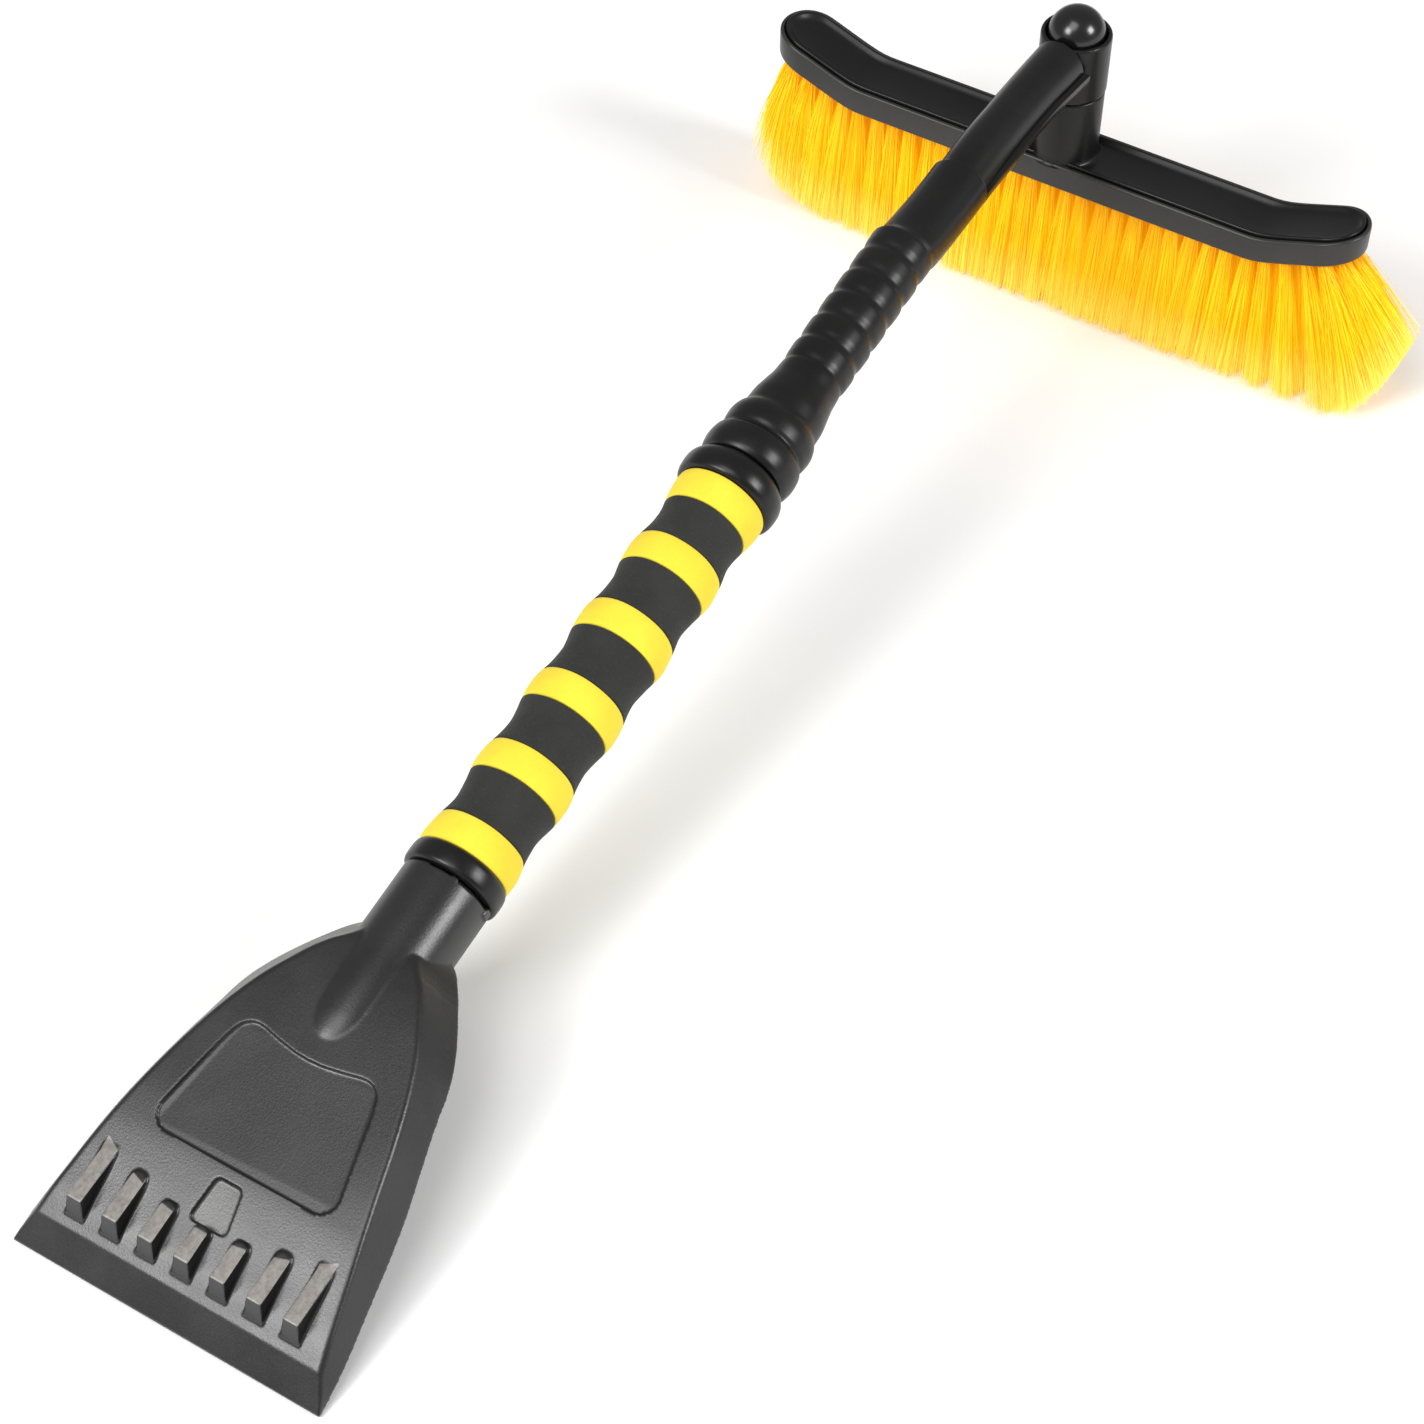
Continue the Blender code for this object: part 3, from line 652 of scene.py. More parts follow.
@dataclass(frozen=True)
class BristleFibre:
    """Yellow monofilament, deeper in colour toward its root, with a painted glow standing in for light through the
    translucent fibre.
    """

    name: str = "bristle_yellow"
    root: tuple[float, float, float] = (0.92, 0.48, 0.0)
    middle: tuple[float, float, float] = (0.98, 0.67, 0.005)
    tip: tuple[float, float, float] = (1.0, 0.78, 0.12)
    dark: tuple[float, float, float] = (0.86, 0.45, 0.0)
    painted_glow: float = 0.16

    def material(self) -> bpy.types.Material:
        """Builds the material from the strands' own attributes."""
        g = Graph(self.name)
        along = g.signal("ShaderNodeAttribute", {"attribute_name": "along"}, None, "Fac")
        strand = g.signal("ShaderNodeAttribute", {"attribute_name": "strand"}, None, "Fac")
        tuft = g.signal("ShaderNodeAttribute", {"attribute_name": "tuft"}, None, "Fac")
        lower = g.mix(along.step(-0.05, 0.32), self.root, self.middle)
        length = g.mix((along + 0.12 * (strand - 0.5)).step(0.55, 1.0), lower, self.tip)
        streak = (strand.step(0.55, 1.0) * 0.42 + tuft * 0.14) * (1.0 - 0.6 * along)
        colour = g.mix(streak, length, self.dark)
        # The emission is a painted glow: the fibre lights itself in place of light shining through it
        g.set(Base_Color=colour, Roughness=0.42 + 0.15 * strand, Specular_IOR_Level=0.3,
              Emission_Color=colour, Emission_Strength=self.painted_glow)
        return g.material


@dataclass(frozen=True)
class BareMetal:
    """Plated or drawn metal with fine drawing lines along one axis."""

    name: str
    colour: tuple[float, float, float]
    roughness: float
    stretch: tuple[float, float, float]

    def material(self) -> bpy.types.Material:
        """Builds the material."""
        g = Graph(self.name)
        lines = g.noise(g.place(self.stretch), 900.0, 2.0, 0.6)
        stain = g.noise(g.place(), 140.0, 3.0, 0.6)
        dull = tuple(0.72 * value for value in self.colour)
        g.set(Base_Color=g.mix(stain.step(0.4, 0.7) * 0.5, self.colour, dull), Metallic=1.0,
              Roughness=self.roughness + 0.12 * (lines - 0.5) + 0.1 * (stain - 0.5))
        g.bump(lines, 0.5, 0.00002)
        return g.material


class Finishes:
    """All finishes of the tool, each built once."""

    def __init__(self, handle: LocalFrame) -> None:
        """Builds every finish; the handle's frame places the painted highlight and wear on the scraper's teeth,
        and its paler recess.
        """
        self.scraper = ScraperPlastic("scraper_graphite", (0.0075, 0.0077, 0.0075),
                                      (0.012, 0.0122, 0.0119), 0.34, 1350.0, 0.00006,
                                      specular=0.6, local=handle).material()
        self.arm = MouldedPlastic("arm_satin_black", (0.0050, 0.0050, 0.0049),
                                  (0.008, 0.008, 0.0078), 0.34, 1500.0, 0.00001).material()
        self.collar = MouldedPlastic("collar_satin_black", (0.0050, 0.0050, 0.0050),
                                     (0.008, 0.008, 0.0079), 0.30, 1500.0, 0.00001).material()
        self.cover = MouldedPlastic("cover_satin_black", (0.0050, 0.0050, 0.0049),
                                    (0.007, 0.007, 0.0069), 0.32, 1300.0, 0.00001).material()
        self.block = MouldedPlastic("block_grained_black", (0.019, 0.019, 0.0185),
                                    (0.026, 0.026, 0.025), 0.36, 1800.0, 0.00002,
                                    specular=0.4).material()
        self.button = MouldedPlastic("button_polished_black", (0.0035, 0.0035, 0.0037),
                                     (0.005, 0.005, 0.005), 0.22, 1500.0, 0.000003,
                                     specular=0.6).material()
        self.cog = MouldedPlastic("cog_nylon", (0.04, 0.04, 0.04), (0.06, 0.06, 0.06), 0.5,
                                  1400.0, 0.00005).material()
        self.yellow_foam = FoamSkin("foam_yellow", (0.83, 0.64, 0.040), (0.79, 0.60, 0.034),
                                    (0.86, 0.71, 0.10), 0.00010).material()
        self.black_foam = FoamSkin("foam_charcoal", (0.018, 0.019, 0.0165),
                                   (0.024, 0.025, 0.022), (0.060, 0.062, 0.055),
                                   0.00016).material()
        self.bristle = BristleFibre().material()
        self.steel = BareMetal("plated_steel", (0.62, 0.62, 0.60), 0.28,
                               (1.0, 1.0, 0.2)).material()
        self.tube = BareMetal("drawn_aluminium", (0.80, 0.80, 0.81), 0.30,
                              (0.05, 1.0, 1.0)).material()


# --- Scraper head ----------------------------------------------------------------------------


@dataclass(frozen=True)
class Tooth:
    """One wedge-shaped ice tooth on the scraper's plate."""

    side: float
    back: float
    front: float = -171.4
    crown_front: float = -167.2
    foot_half: float = 4.0
    crown_half: float = 3.0
    crown_z: float = 4.0

    def rings(self, top: Callable[[float], float]) -> list[list[tuple[float, float, float]]]:
        """Gives the tooth's foot and crown.

        Args:
            top: Height of the plate's top face at a distance along the handle.

        Returns:
            Two rings of points.
        """
        foot = [(self.front, self.foot_half), (self.back - 0.8, 3.6), (self.back + 0.8, 2.9),
                (self.back + 1.6, 1.6)]
        crown = [(self.crown_front, self.crown_half), (self.back - 2.2, 2.7),
                 (self.back - 0.7, 2.1), (self.back, 1.0)]
        sunk = [(s, w, top(s) - 0.9) for s, w in foot]
        raised = [(s, w, self.crown_z) for s, w in crown]
        return [[(s, self.side + w, z) for s, w, z in half]
                + [(s, self.side - w, z) for s, w, z in reversed(half)]
                for half in (sunk, raised)]


@dataclass(frozen=True)
class ScraperHead:
    """Flared scraper plate with its neck, teeth, sunk panel and hollow underside."""

    # Distance along the handle, half width and height of the top, half width and height below
    fan: Table = ((-184.8, 63.6, -15.2, 63.8, -16.46), (-181.0, 62.2, -12.2, 63.8, -15.8),
                  (-174.4, 59.0, -7.0, 63.6, -14.4), (-165.0, 57.2, -2.7, 62.6, -12.8),
                  (-155.0, 55.2, 0.6, 61.2, -10.8), (-145.0, 53.2, 3.8, 59.8, -8.8),
                  (-132.6, 50.4, 7.2, 58.0, -6.6), (-118.0, 47.0, 10.0, 55.2, -4.6),
                  (-102.0, 43.0, 11.8, 51.2, -2.2), (-86.0, 38.0, 13.2, 47.0, -0.6),
                  (-72.0, 32.2, 14.2, 43.6, 0.0), (-62.0, 26.6, 14.8, 39.4, 0.0),
                  (-54.6, 22.2, 15.0, 35.2, 0.0), (-48.6, 17.6, 15.0, 31.4, 0.0),
                  (-44.9, 13.8, 14.9, 28.9, -0.1), (-41.5, 11.4, 14.2, 26.5, -0.2),
                  (-38.5, 10.4, 12.8, 24.4, -0.4), (-35.5, 9.6, 10.6, 21.8, -0.6),
                  (-33.2, 9.0, 8.2, 19.3, -0.8), (-31.2, 8.6, 5.6, 16.8, -1.0))
    bevel_at: float = -174.4
    hollow_from: float = -165.0
    hollow_to: float = -62.0
    wall: float = 3.0
    neck: Table = ((-94.0, 0.0), (-94.0, 6.0), (-90.0, 10.4), (-82.5, 13.6), (-78.0, 15.2),
                   (-71.0, 16.6), (-60.0, 17.3), (-50.0, 17.5), (-10.2, 17.5), (-9.6, 17.2),
                   (-9.3, 16.7), (-9.3, 0.0))
    tooth_pitch: float = 14.85
    tooth_backs: tuple[float, ...] = (-143.0, -148.5, -152.5, -154.0)
    rib_side: float = 22.0

    def top(self, s: float) -> float:
        """Height of the plate's top face at a distance along the handle."""
        return self._read(s, 2)

    def _read(self, s: float, column: int) -> float:
        """Reads the fan's table, with a true corner at the blade's bevel."""
        split = [row[0] for row in self.fan].index(self.bevel_at)
        part = self.fan[:split + 1] if s < self.bevel_at else self.fan[split:]
        return smooth_table(part, s, column)

    def section(self, s: float, inset: float = 0.0, drop: float = 0.0) -> list[tuple]:
        """Gives a cross-section of the plate.

        Args:
            s: Distance along the handle.
            inset: How far the section shrinks, for the hollow under the plate.
            drop: How far the foot goes down, for the hollow under the plate.

        Returns:
            A ring of points.
        """
        top_w, top_z, foot_w, foot_z = (self._read(s, column) for column in (1, 2, 3, 4))
        edge = min(1.3, 0.3 * (top_z - foot_z))
        slope = Vector((foot_w - top_w, foot_z - top_z))
        start = Vector((top_w, top_z)) + slope * min(0.7, 1.2 * edge / max(slope.length, 0.1))
        finish = Vector((top_w - 1.2 * edge, top_z + 0.05))
        corner = Vector((top_w, top_z))
        foot = Vector((foot_w, foot_z))
        round_off = min(0.9, 0.3 * (top_z - foot_z))
        half = [foot - Vector((round_off, 0.0)), foot - Vector((0.3 * round_off, -0.08)),
                foot - slope.normalized() * round_off, foot.lerp(start, 0.5)]
        for k in range(6):
            t = k / 5
            half.append(start * (1 - t) ** 2 + corner * 2 * t * (1 - t) + finish * t * t)
        for t in (0.75, 0.5, 0.25):
            half.append(Vector((finish.x * t, top_z + 0.05 + 0.25 * (1 - t))))
        centre = [(s, 0.0, top_z + 0.3 - inset)]
        right = [(s, max(p.x - inset, 0.2), p.y - (drop if i < 2 else inset * min(1.0, i / 5)))
                 for i, p in enumerate(half)]
        left = [(s, -y, z) for _, y, z in reversed(right)]
        bottom = [(s, right[0][1] * t, right[0][2]) for t in (-0.6, -0.2, 0.2, 0.6)]
        return right + centre + left + bottom

    def build(self, local: LocalFrame, finish: bpy.types.Material) -> None:
        """Models the head and hands it over.

        Args:
            local: The handle's frame.
            finish: The head's material.
        """
        places = sorted(set(stations(-184.8, self.bevel_at, 1.6)
                            + stations(self.bevel_at, -31.2, 2.2)))
        body = BENCH.sweep("scraper_head_shell", [self.section(s) for s in places])
        hollow = BENCH.sweep("hollow", [
            self.section(s, self.wall, 6.0)
            for s in stations(self.hollow_from, self.hollow_to, 3.0)])
        BENCH.combine(body, hollow, Cut.REMOVE)
        BENCH.combine(body, BENCH.lathe("neck", self._neck_profile(), "X", 96), Cut.JOIN)
        for index in range(2 * len(self.tooth_backs) - 1):
            side = (3 - index) * self.tooth_pitch
            tooth = Tooth(side, self.tooth_backs[min(index, 6 - index)])
            BENCH.combine(body, BENCH.sweep("tooth", tooth.rings(self.top)), Cut.JOIN)
        for outline, sink in ((self._panel(), 1.0), (self._window(), 1.3)):
            recess = BENCH.sweep("recess", [
                [(s, y, self.top(s) - sink) for s, y in outline],
                [(s, y, self.top(s) + 4.0) for s, y in outline]])
            BENCH.combine(body, recess, Cut.REMOVE)
        self._underside(body)
        self._neck_details(body)
        BENCH.even_skin(body, 0.42, 190000, (
            ((-58.0, 0.0, 12.0), (34.0, 26.0, 12.0), 24),
            ((-36.0, 17.0, 6.0), (10.0, 9.0, 12.0), 14),
            ((-36.0, -17.0, 6.0), (10.0, 9.0, 12.0), 14)))
        BENCH.place(body, local)
        BENCH.smooth(body, 60.0)
        settle(body, Body.HANDLE, finish, ("scraper_head",))

    def _neck_profile(self) -> list[tuple[float, float]]:
        """Refines the neck's outline along a smooth curve."""
        nose = [(s, smooth_table(self.neck[2:8], s)) for s in stations(-90.0, -50.0, 2.0)]
        return [(-94.0, 0.0), (-94.0, 6.0), *nose, *self.neck[8:]]

    @staticmethod
    def _panel() -> list[tuple[float, float]]:
        """Outline of the sunk panel, with rounded corners and a hollow rear edge."""
        half = [(-133.4, 0.0), (-133.4, 30.6), (-132.8, 33.2), (-131.0, 35.4), (-128.6, 36.8),
                (-126.0, 37.0), (-98.0, 30.9), (-92.6, 29.3), (-89.4, 27.6), (-87.6, 25.2),
                (-87.0, 22.4), (-87.3, 19.6), (-88.7, 13.0), (-89.9, 6.0), (-90.3, 0.0)]
        return half + [(s, -y) for s, y in reversed(half[1:-1])]

    @staticmethod
    def _window() -> list[tuple[float, float]]:
        """Outline of the small tapered recess behind the middle tooth."""
        half = [(-153.4, 0.0), (-153.4, 5.6), (-152.8, 6.9), (-151.6, 7.4), (-139.8, 5.6),
                (-138.3, 5.0), (-137.6, 3.8), (-137.6, 0.0)]
        return half + [(s, -y) for s, y in reversed(half[1:-1])]

    def _underside(self, body: bpy.types.Object) -> None:
        """Adds the two stiffening ribs under the plate."""
        for side in (-self.rib_side, self.rib_side):
            rows = stations(-169.0, -70.0, 6.0)
            rib = BENCH.sweep("rib", [
                [(s, side - 1.0, self.top(s) - 2.0), (s, side + 1.0, self.top(s) - 2.0),
                 (s, side + 0.8, self.top(s) - 5.6), (s, side - 0.8, self.top(s) - 5.6)]
                for s in rows])
            BENCH.combine(body, rib, Cut.JOIN)

    @staticmethod
    def _neck_details(body: bpy.types.Object) -> None:
        """Cuts the slit and gap at the neck's end and adds the index lug."""
        for start, angles in ((-10.2, (78.0, 111.0)), (-10.8, (119.0, 196.0))):
            sector = BENCH.sweep("sector", [
                [(x, r * math.cos(a), r * math.sin(a))
                 for x, r in ((start, 15.6), (-8.3, 15.6), (-8.3, 19.0), (start, 19.0))]
                for a in map(math.radians, stations(*angles, 3.0))])
            BENCH.combine(body, sector, Cut.REMOVE)
        lug = BENCH.block("lug", (-12.9, -18.2, -2.4), (-9.5, -15.2, 1.8))
        BENCH.combine(body, lug, Cut.JOIN)


# --- Grip ------------------------------------------------------------------------------------


@dataclass(frozen=True)
class FoamGrip:
    """Banded foam grip of yellow and charcoal rings with a wavy outline, and its collars."""

    starts: tuple[float, ...] = (0.0, 32.8, 66.2, 100.0, 133.1, 164.3)
    yellow_length: float = 12.9
    mean_radius: float = 17.5
    wave_height: float = 1.1
    wave_length: float = 33.83
    crest_at: float = 4.5
    bore: float = 11.3
    gap: float = 0.3
    end_collar: Table = ((-9.0, 11.3), (-9.0, 17.6), (-8.8, 18.1), (-8.2, 18.75), (-7.2, 19.0),
                         (-5.0, 19.1), (-2.6, 19.05), (-1.2, 18.8), (-0.5, 18.4), (-0.2, 17.9),
                         (-0.2, 11.3))
    top_collar: Table = ((177.4, 11.3), (177.4, 18.8), (177.7, 19.5), (178.6, 20.2),
                         (180.2, 20.6), (182.6, 20.8), (184.8, 20.7), (186.6, 20.2),
                         (188.2, 19.3), (189.4, 18.1), (190.1, 17.0), (190.5, 16.2),
                         (190.5, 11.3))

    def radius(self, s: float) -> float:
        """Radius of the wavy foam at a distance along the handle."""
        phase = 2 * math.pi * (s - self.crest_at) / self.wave_length
        return self.mean_radius + self.wave_height * math.cos(phase)

    def ring(self, name: str, start: float, end: float, local: LocalFrame,
             finish: bpy.types.Material, slot: Slot) -> None:
        """Models one foam ring with softly rounded edges.

        Args:
            name: Name of the CAD node that it stands for.
            start: Where it begins along the handle.
            end: Where it ends.
            local: The handle's frame.
            finish: Its material.
            slot: Its slot in the record; not used.
        """
        lip = 0.45
        outer = [(start, self.radius(start) - lip), (start + 0.12, self.radius(start) - 0.16),
                 (start + lip, self.radius(start + lip))]
        outer += [(s, self.radius(s)) for s in stations(start + lip, end - lip, 1.1)[1:]]
        outer += [(end - 0.12, self.radius(end) - 0.16), (end, self.radius(end) - lip)]
        profile = [(start, self.bore), *outer, (end, self.bore)]
        body = BENCH.lathe(name + "_soft", profile, "X", 96, closed=True)
        self._dent(body)
        BENCH.place(body, local)
        BENCH.smooth(body, 60.0)
        settle(body, Body.HANDLE, finish, (name,))

    def _dent(self, body: bpy.types.Object) -> None:
        """Gives the foam the slight unevenness of a ground surface."""
        for vert in body.data.vertices:
            s, y, z = vert.co
            reach = math.hypot(y, z)
            if reach < self.bore + 1.0:
                continue
            turn = math.atan2(z, y)
            wobble = 0.09 * math.sin(3 * turn + 0.21 * s) * math.sin(0.37 * s + 2 * turn)
            wobble += 0.05 * math.sin(7 * turn - 0.53 * s)
            vert.co.y *= 1 + wobble / reach
            vert.co.z *= 1 + wobble / reach

    def build(self, local: LocalFrame, finishes: Finishes) -> None:
        """Models the rings and both collars."""
        half = self.gap / 2
        for index, start in enumerate(self.starts):
            end = start + self.yellow_length
            self.ring(f"foam_yellow_{index + 1}", start + half, end - half, local,
                      finishes.yellow_foam, Slot.YELLOW_FOAM)
            if index + 1 < len(self.starts):
                self.ring(f"foam_black_{index + 1}", end + half, self.starts[index + 1] - half,
                          local, finishes.black_foam, Slot.BLACK_FOAM)
        for name, profile in (("grip_end_collar", self.end_collar),
                              ("grip_top_collar", self.top_collar)):
            body = BENCH.lathe(name + "_turned", profile, "X", 96, closed=True)
            BENCH.place(body, local)
            BENCH.smooth(body, 50.0)
            settle(body, Body.HANDLE, finishes.collar, (name,))


# --- Arm -------------------------------------------------------------------------------------


@dataclass(frozen=True)
class BrushArm:
    """Swollen, ribbed and goose-necked arm with the hub that holds the brush head."""

    # Distance along the handle, radius and drop of the centre line
    body: Table = ((190.9, 17.0, 0.0), (193.0, 18.6, -0.3), (198.0, 19.4, -0.6),
                   (202.5, 18.9, -0.9), (205.4, 16.9, -1.1), (207.6, 17.8, -1.2),
                   (212.0, 18.2, -1.4), (216.0, 17.4, -1.6), (219.0, 15.8, -1.8),
                   (225.0, 15.6, -2.0), (231.0, 14.6, -2.1), (237.0, 13.5, -2.2),
                   (243.0, 13.0, -2.2))
    neck: Table = ((318.4, 12.9, -4.6), (330.0, 12.8, -7.0), (345.0, 12.6, -9.0),
                   (361.5, 12.6, -10.3))
    goose: Table = ((374.0, 12.5, -11.0), (387.0, 12.3, -12.3), (401.0, 12.1, -14.4),
                    (409.0, 12.1, -15.7), (421.0, 12.2, -17.9), (432.0, 12.5, -20.4),
                    (448.0, 13.0, -24.4))
    rib_from: float = 243.8
    rib_pitch: float = 12.3
    rib_count: int = 6
    rib_crest: float = 13.5
    rib_root: float = 12.65
    rib_drop: float = -2.3
    split_at: float = 361.9
    shell_step: float = 1.7
    cover_step: float = 0.8
    seam: float = 0.35
    screw_at: tuple[float, float] = (383.0, 416.0)
    tube_screw_at: float = 212.0
    hub_foot: float = 30.0
    hub_top: float = 57.5
    recess_floor: float = 46.0

    def table(self) -> list[tuple[float, float, float]]:
        """All rows of the arm, with those of the moulded ribs."""
        rows = list(self.body)
        for index in range(self.rib_count):
            s = self.rib_from + index * self.rib_pitch
            rows += [(s, self.rib_root, self.rib_drop),
                     (s + 0.3 * self.rib_pitch, self.rib_crest - 0.15, self.rib_drop),
                     (s + 0.75 * self.rib_pitch, self.rib_crest, self.rib_drop)]
        end = self.rib_from + self.rib_count * self.rib_pitch
        rows.append((end - 1.2, self.rib_root + 0.1, self.rib_drop - 0.6))
        return rows + list(self.neck) + list(self.goose)

    def step_out(self, s: float) -> float:
        """Share of the under cover's full step outward, at a distance along."""
        t = min(max((s - self.split_at) / 26.0, 0.0), 1.0)
        return t * t * (3.0 - 2.0 * t)

    def build(self, handle: LocalFrame, brush: LocalFrame, finishes: Finishes) -> None:
        """Models the arm and its under cover.

        Args:
            handle: The handle's frame.
            brush: The brush's frame.
            finishes: The tool's finishes.
        """
        rows = self.table()

        def read(s: float) -> tuple[float, float]:
            """Radius and drop of the arm at a distance along the handle."""
            return smooth_table(rows, s, 1), smooth_table(rows, s, 2)

        round_part = [round_ring(s, read(s)[0], 80, "X", read(s)[1])
                      for s in stations(190.9, 219.0, 0.8) + stations(219.0, self.split_at, 1.0)[1:]]
        arm = BENCH.sweep("brush_arm_shell", round_part)
        upper = []
        for s in stations(self.split_at - 1.0, 448.0, 2.0):
            r, drop = read(s)
            turns = map(math.radians, stations(-1.0, 181.0, 4.6))
            upper.append([(s, (r - self.shell_step) * math.cos(t), drop + r * math.sin(t))
                          for t in turns])
        BENCH.combine(arm, BENCH.sweep("goose", upper), Cut.JOIN)
        to_handle = handle.matrix.inverted() @ brush.matrix
        hub = BENCH.lathe("hub", ((self.hub_foot, 0.0), (self.hub_foot, 14.3),
                                  (self.hub_foot + 0.25, 14.8), (self.hub_foot + 0.8, 15.1),
                                  (self.hub_top - 1.2, 15.1), (self.hub_top - 0.4, 14.8),
                                  (self.hub_top, 14.2), (self.hub_top, 0.0)), "Z", 120)
        recess = BENCH.lathe("recess", ((self.recess_floor, 0.0), (self.recess_floor, 13.0),
                                        (self.hub_top - 0.7, 13.0), (self.hub_top - 0.2, 13.25),
                                        (self.hub_top + 6.0, 13.6), (self.hub_top + 6.0, 0.0)),
                             "Z", 120)
        for tool, cut in ((hub, Cut.JOIN), (recess, Cut.REMOVE)):
            tool.data.transform(to_handle)
            BENCH.combine(arm, tool, cut)
        hub_at = to_handle @ Vector((-13.0, 0.0, 46.0))
        seat = BENCH.lathe("seat", ((-40.0, 0.0), (-40.0, 3.6), (-17.0, 3.6), (-17.0, 0.0)),
                           "Z", 32)
        seat.data.transform(Matrix.Translation((self.tube_screw_at, 0.0, 0.0)))
        BENCH.combine(arm, seat, Cut.REMOVE)
        BENCH.even_skin(arm, 0.45, 180000, (
            ((hub_at.x, 11.0, hub_at.z), (9.0, 7.0, 17.0), 40),
            ((hub_at.x, -11.0, hub_at.z), (9.0, 7.0, 17.0), 40)))
        BENCH.place(arm, handle)
        BENCH.smooth(arm, 60.0)
        settle(arm, Body.HANDLE, finishes.arm, ("brush_arm",))
        self._under_cover(handle, brush, finishes, read)

    def _under_cover(self, handle: LocalFrame, brush: LocalFrame, finishes: Finishes,
                     read: Callable[[float], tuple[float, float]]) -> None:
        """Models the lower half of the goose-neck.

        Args:
            handle: The handle's frame.
            brush: The brush's frame.
            finishes: The tool's finishes.
            read: Radius and drop of the arm at a distance along the handle.
        """
        lower = []
        for s in stations(self.split_at, 448.0, 2.0):
            r, drop = read(s)
            r += self.cover_step * self.step_out(s)
            ring = [(s, r * math.cos(t), drop - self.seam + r * math.sin(t))
                    for t in map(math.radians, stations(184.0, 356.0, 4.8))]
            ring += [(s, r - 0.1, drop - self.seam - 0.25), (s, r - 0.5, drop - self.seam),
                     (s, 0.5 - r, drop - self.seam), (s, 0.1 - r, drop - self.seam - 0.25)]
            lower.append(ring)
        cover = BENCH.sweep("arm_under_cover_shell", lower)
        hub = BENCH.lathe("hub", ((0.0, 0.0), (0.0, 15.45), (80.0, 15.45), (80.0, 0.0)), "Z", 120)
        hub.data.transform(handle.matrix.inverted() @ brush.matrix)
        BENCH.combine(cover, hub, Cut.REMOVE)
        for s in self.screw_at:
            drop = read(s)[1]
            seat = BENCH.lathe("seat", ((drop - 30.0, 0.0), (drop - 30.0, 3.3),
                                        (drop - 6.5, 3.3), (drop - 6.5, 0.0)), "Z", 32)
            seat.data.transform(Matrix.Translation((s, 0.0, 0.0)))
            BENCH.combine(cover, seat, Cut.REMOVE)
        BENCH.place(cover, handle)
        BENCH.smooth(cover, 40.0)
        settle(cover, Body.HANDLE, finishes.arm, ("arm_under_cover",))


# --- Button ----------------------------------------------------------------------------------


@dataclass(frozen=True)
class ReleaseButton:
    """Polished domed push button in the hub."""

    dome_radius: float = 12.25
    dome_foot: float = 56.15
    skirt_radius: float = 12.3

    def build(self, local: LocalFrame, finish: bpy.types.Material) -> None:
        """Models the button and hands it over."""
        dome = [(self.dome_foot + self.dome_radius * math.sin(a),
                 self.dome_radius * math.cos(a)) for a in map(math.radians, stations(0, 90, 5))]
        profile = [(36.0, 1.8), (36.0, 4.3), (45.9, 4.3), (45.9, 5.4), (56.0, 5.4), (56.2, 9.4),
                   (51.8, 9.6), (51.8, self.skirt_radius - 0.2), (52.0, self.skirt_radius),
                   (54.6, self.skirt_radius), (55.4, self.dome_radius), *dome[:-1],
                   (self.dome_foot + self.dome_radius, 0.0), (45.0, 0.0), (45.0, 1.8)]
        body = BENCH.lathe("release_button_dome", profile, "Z", 96, closed=True)
        BENCH.place(body, local)
        BENCH.smooth(body, 35.0)
        settle(body, Body.BUTTON, finish, ("release_button",))


# --- Brush head ------------------------------------------------------------------------------


@dataclass(frozen=True)
class HeadOutline:
    """Long plan outline with rounded ends that rise, shared by the head's pieces."""

    half_width: float = 15.4
    half_length: float = 139.8
    end_reach: float = 16.0
    rise: Table = ((0.0, 0.0), (92.0, 0.0), (97.0, 0.4), (104.0, 2.2), (111.0, 4.6),
                   (118.0, 7.1), (124.0, 9.2), (130.0, 11.0), (135.0, 12.1), (140.0, 12.8))

    def lift(self, y: float) -> float:
        """How far the head's ends rise at a distance from its middle."""
        return smooth_table(self.rise, abs(y))

    def ring(self, offset: float, height: float) -> list[tuple[float, float, float]]:
        """Gives the outline moved inward, at a height above the brush's frame.

        Args:
            offset: How far inward.
            height: Height on the level middle of the head.

        Returns:
            A ring of points that follows the rising ends.
        """
        flat = self.half_length - self.end_reach
        width = max(self.half_width - offset, 0.0)
        reach = max(self.end_reach - offset, 0.0)
        right = [(width, y) for y in stations(-flat, flat, 3.4)[1:-1]]
        far = [(width * math.cos(t), flat + reach * math.sin(t))
               for t in map(math.radians, stations(0.0, 180.0, 5.0))]
        half = right + far
        points = half + [(-u, -y) for u, y in half]
        return [(u, y, height + self.lift(y)) for u, y in points]


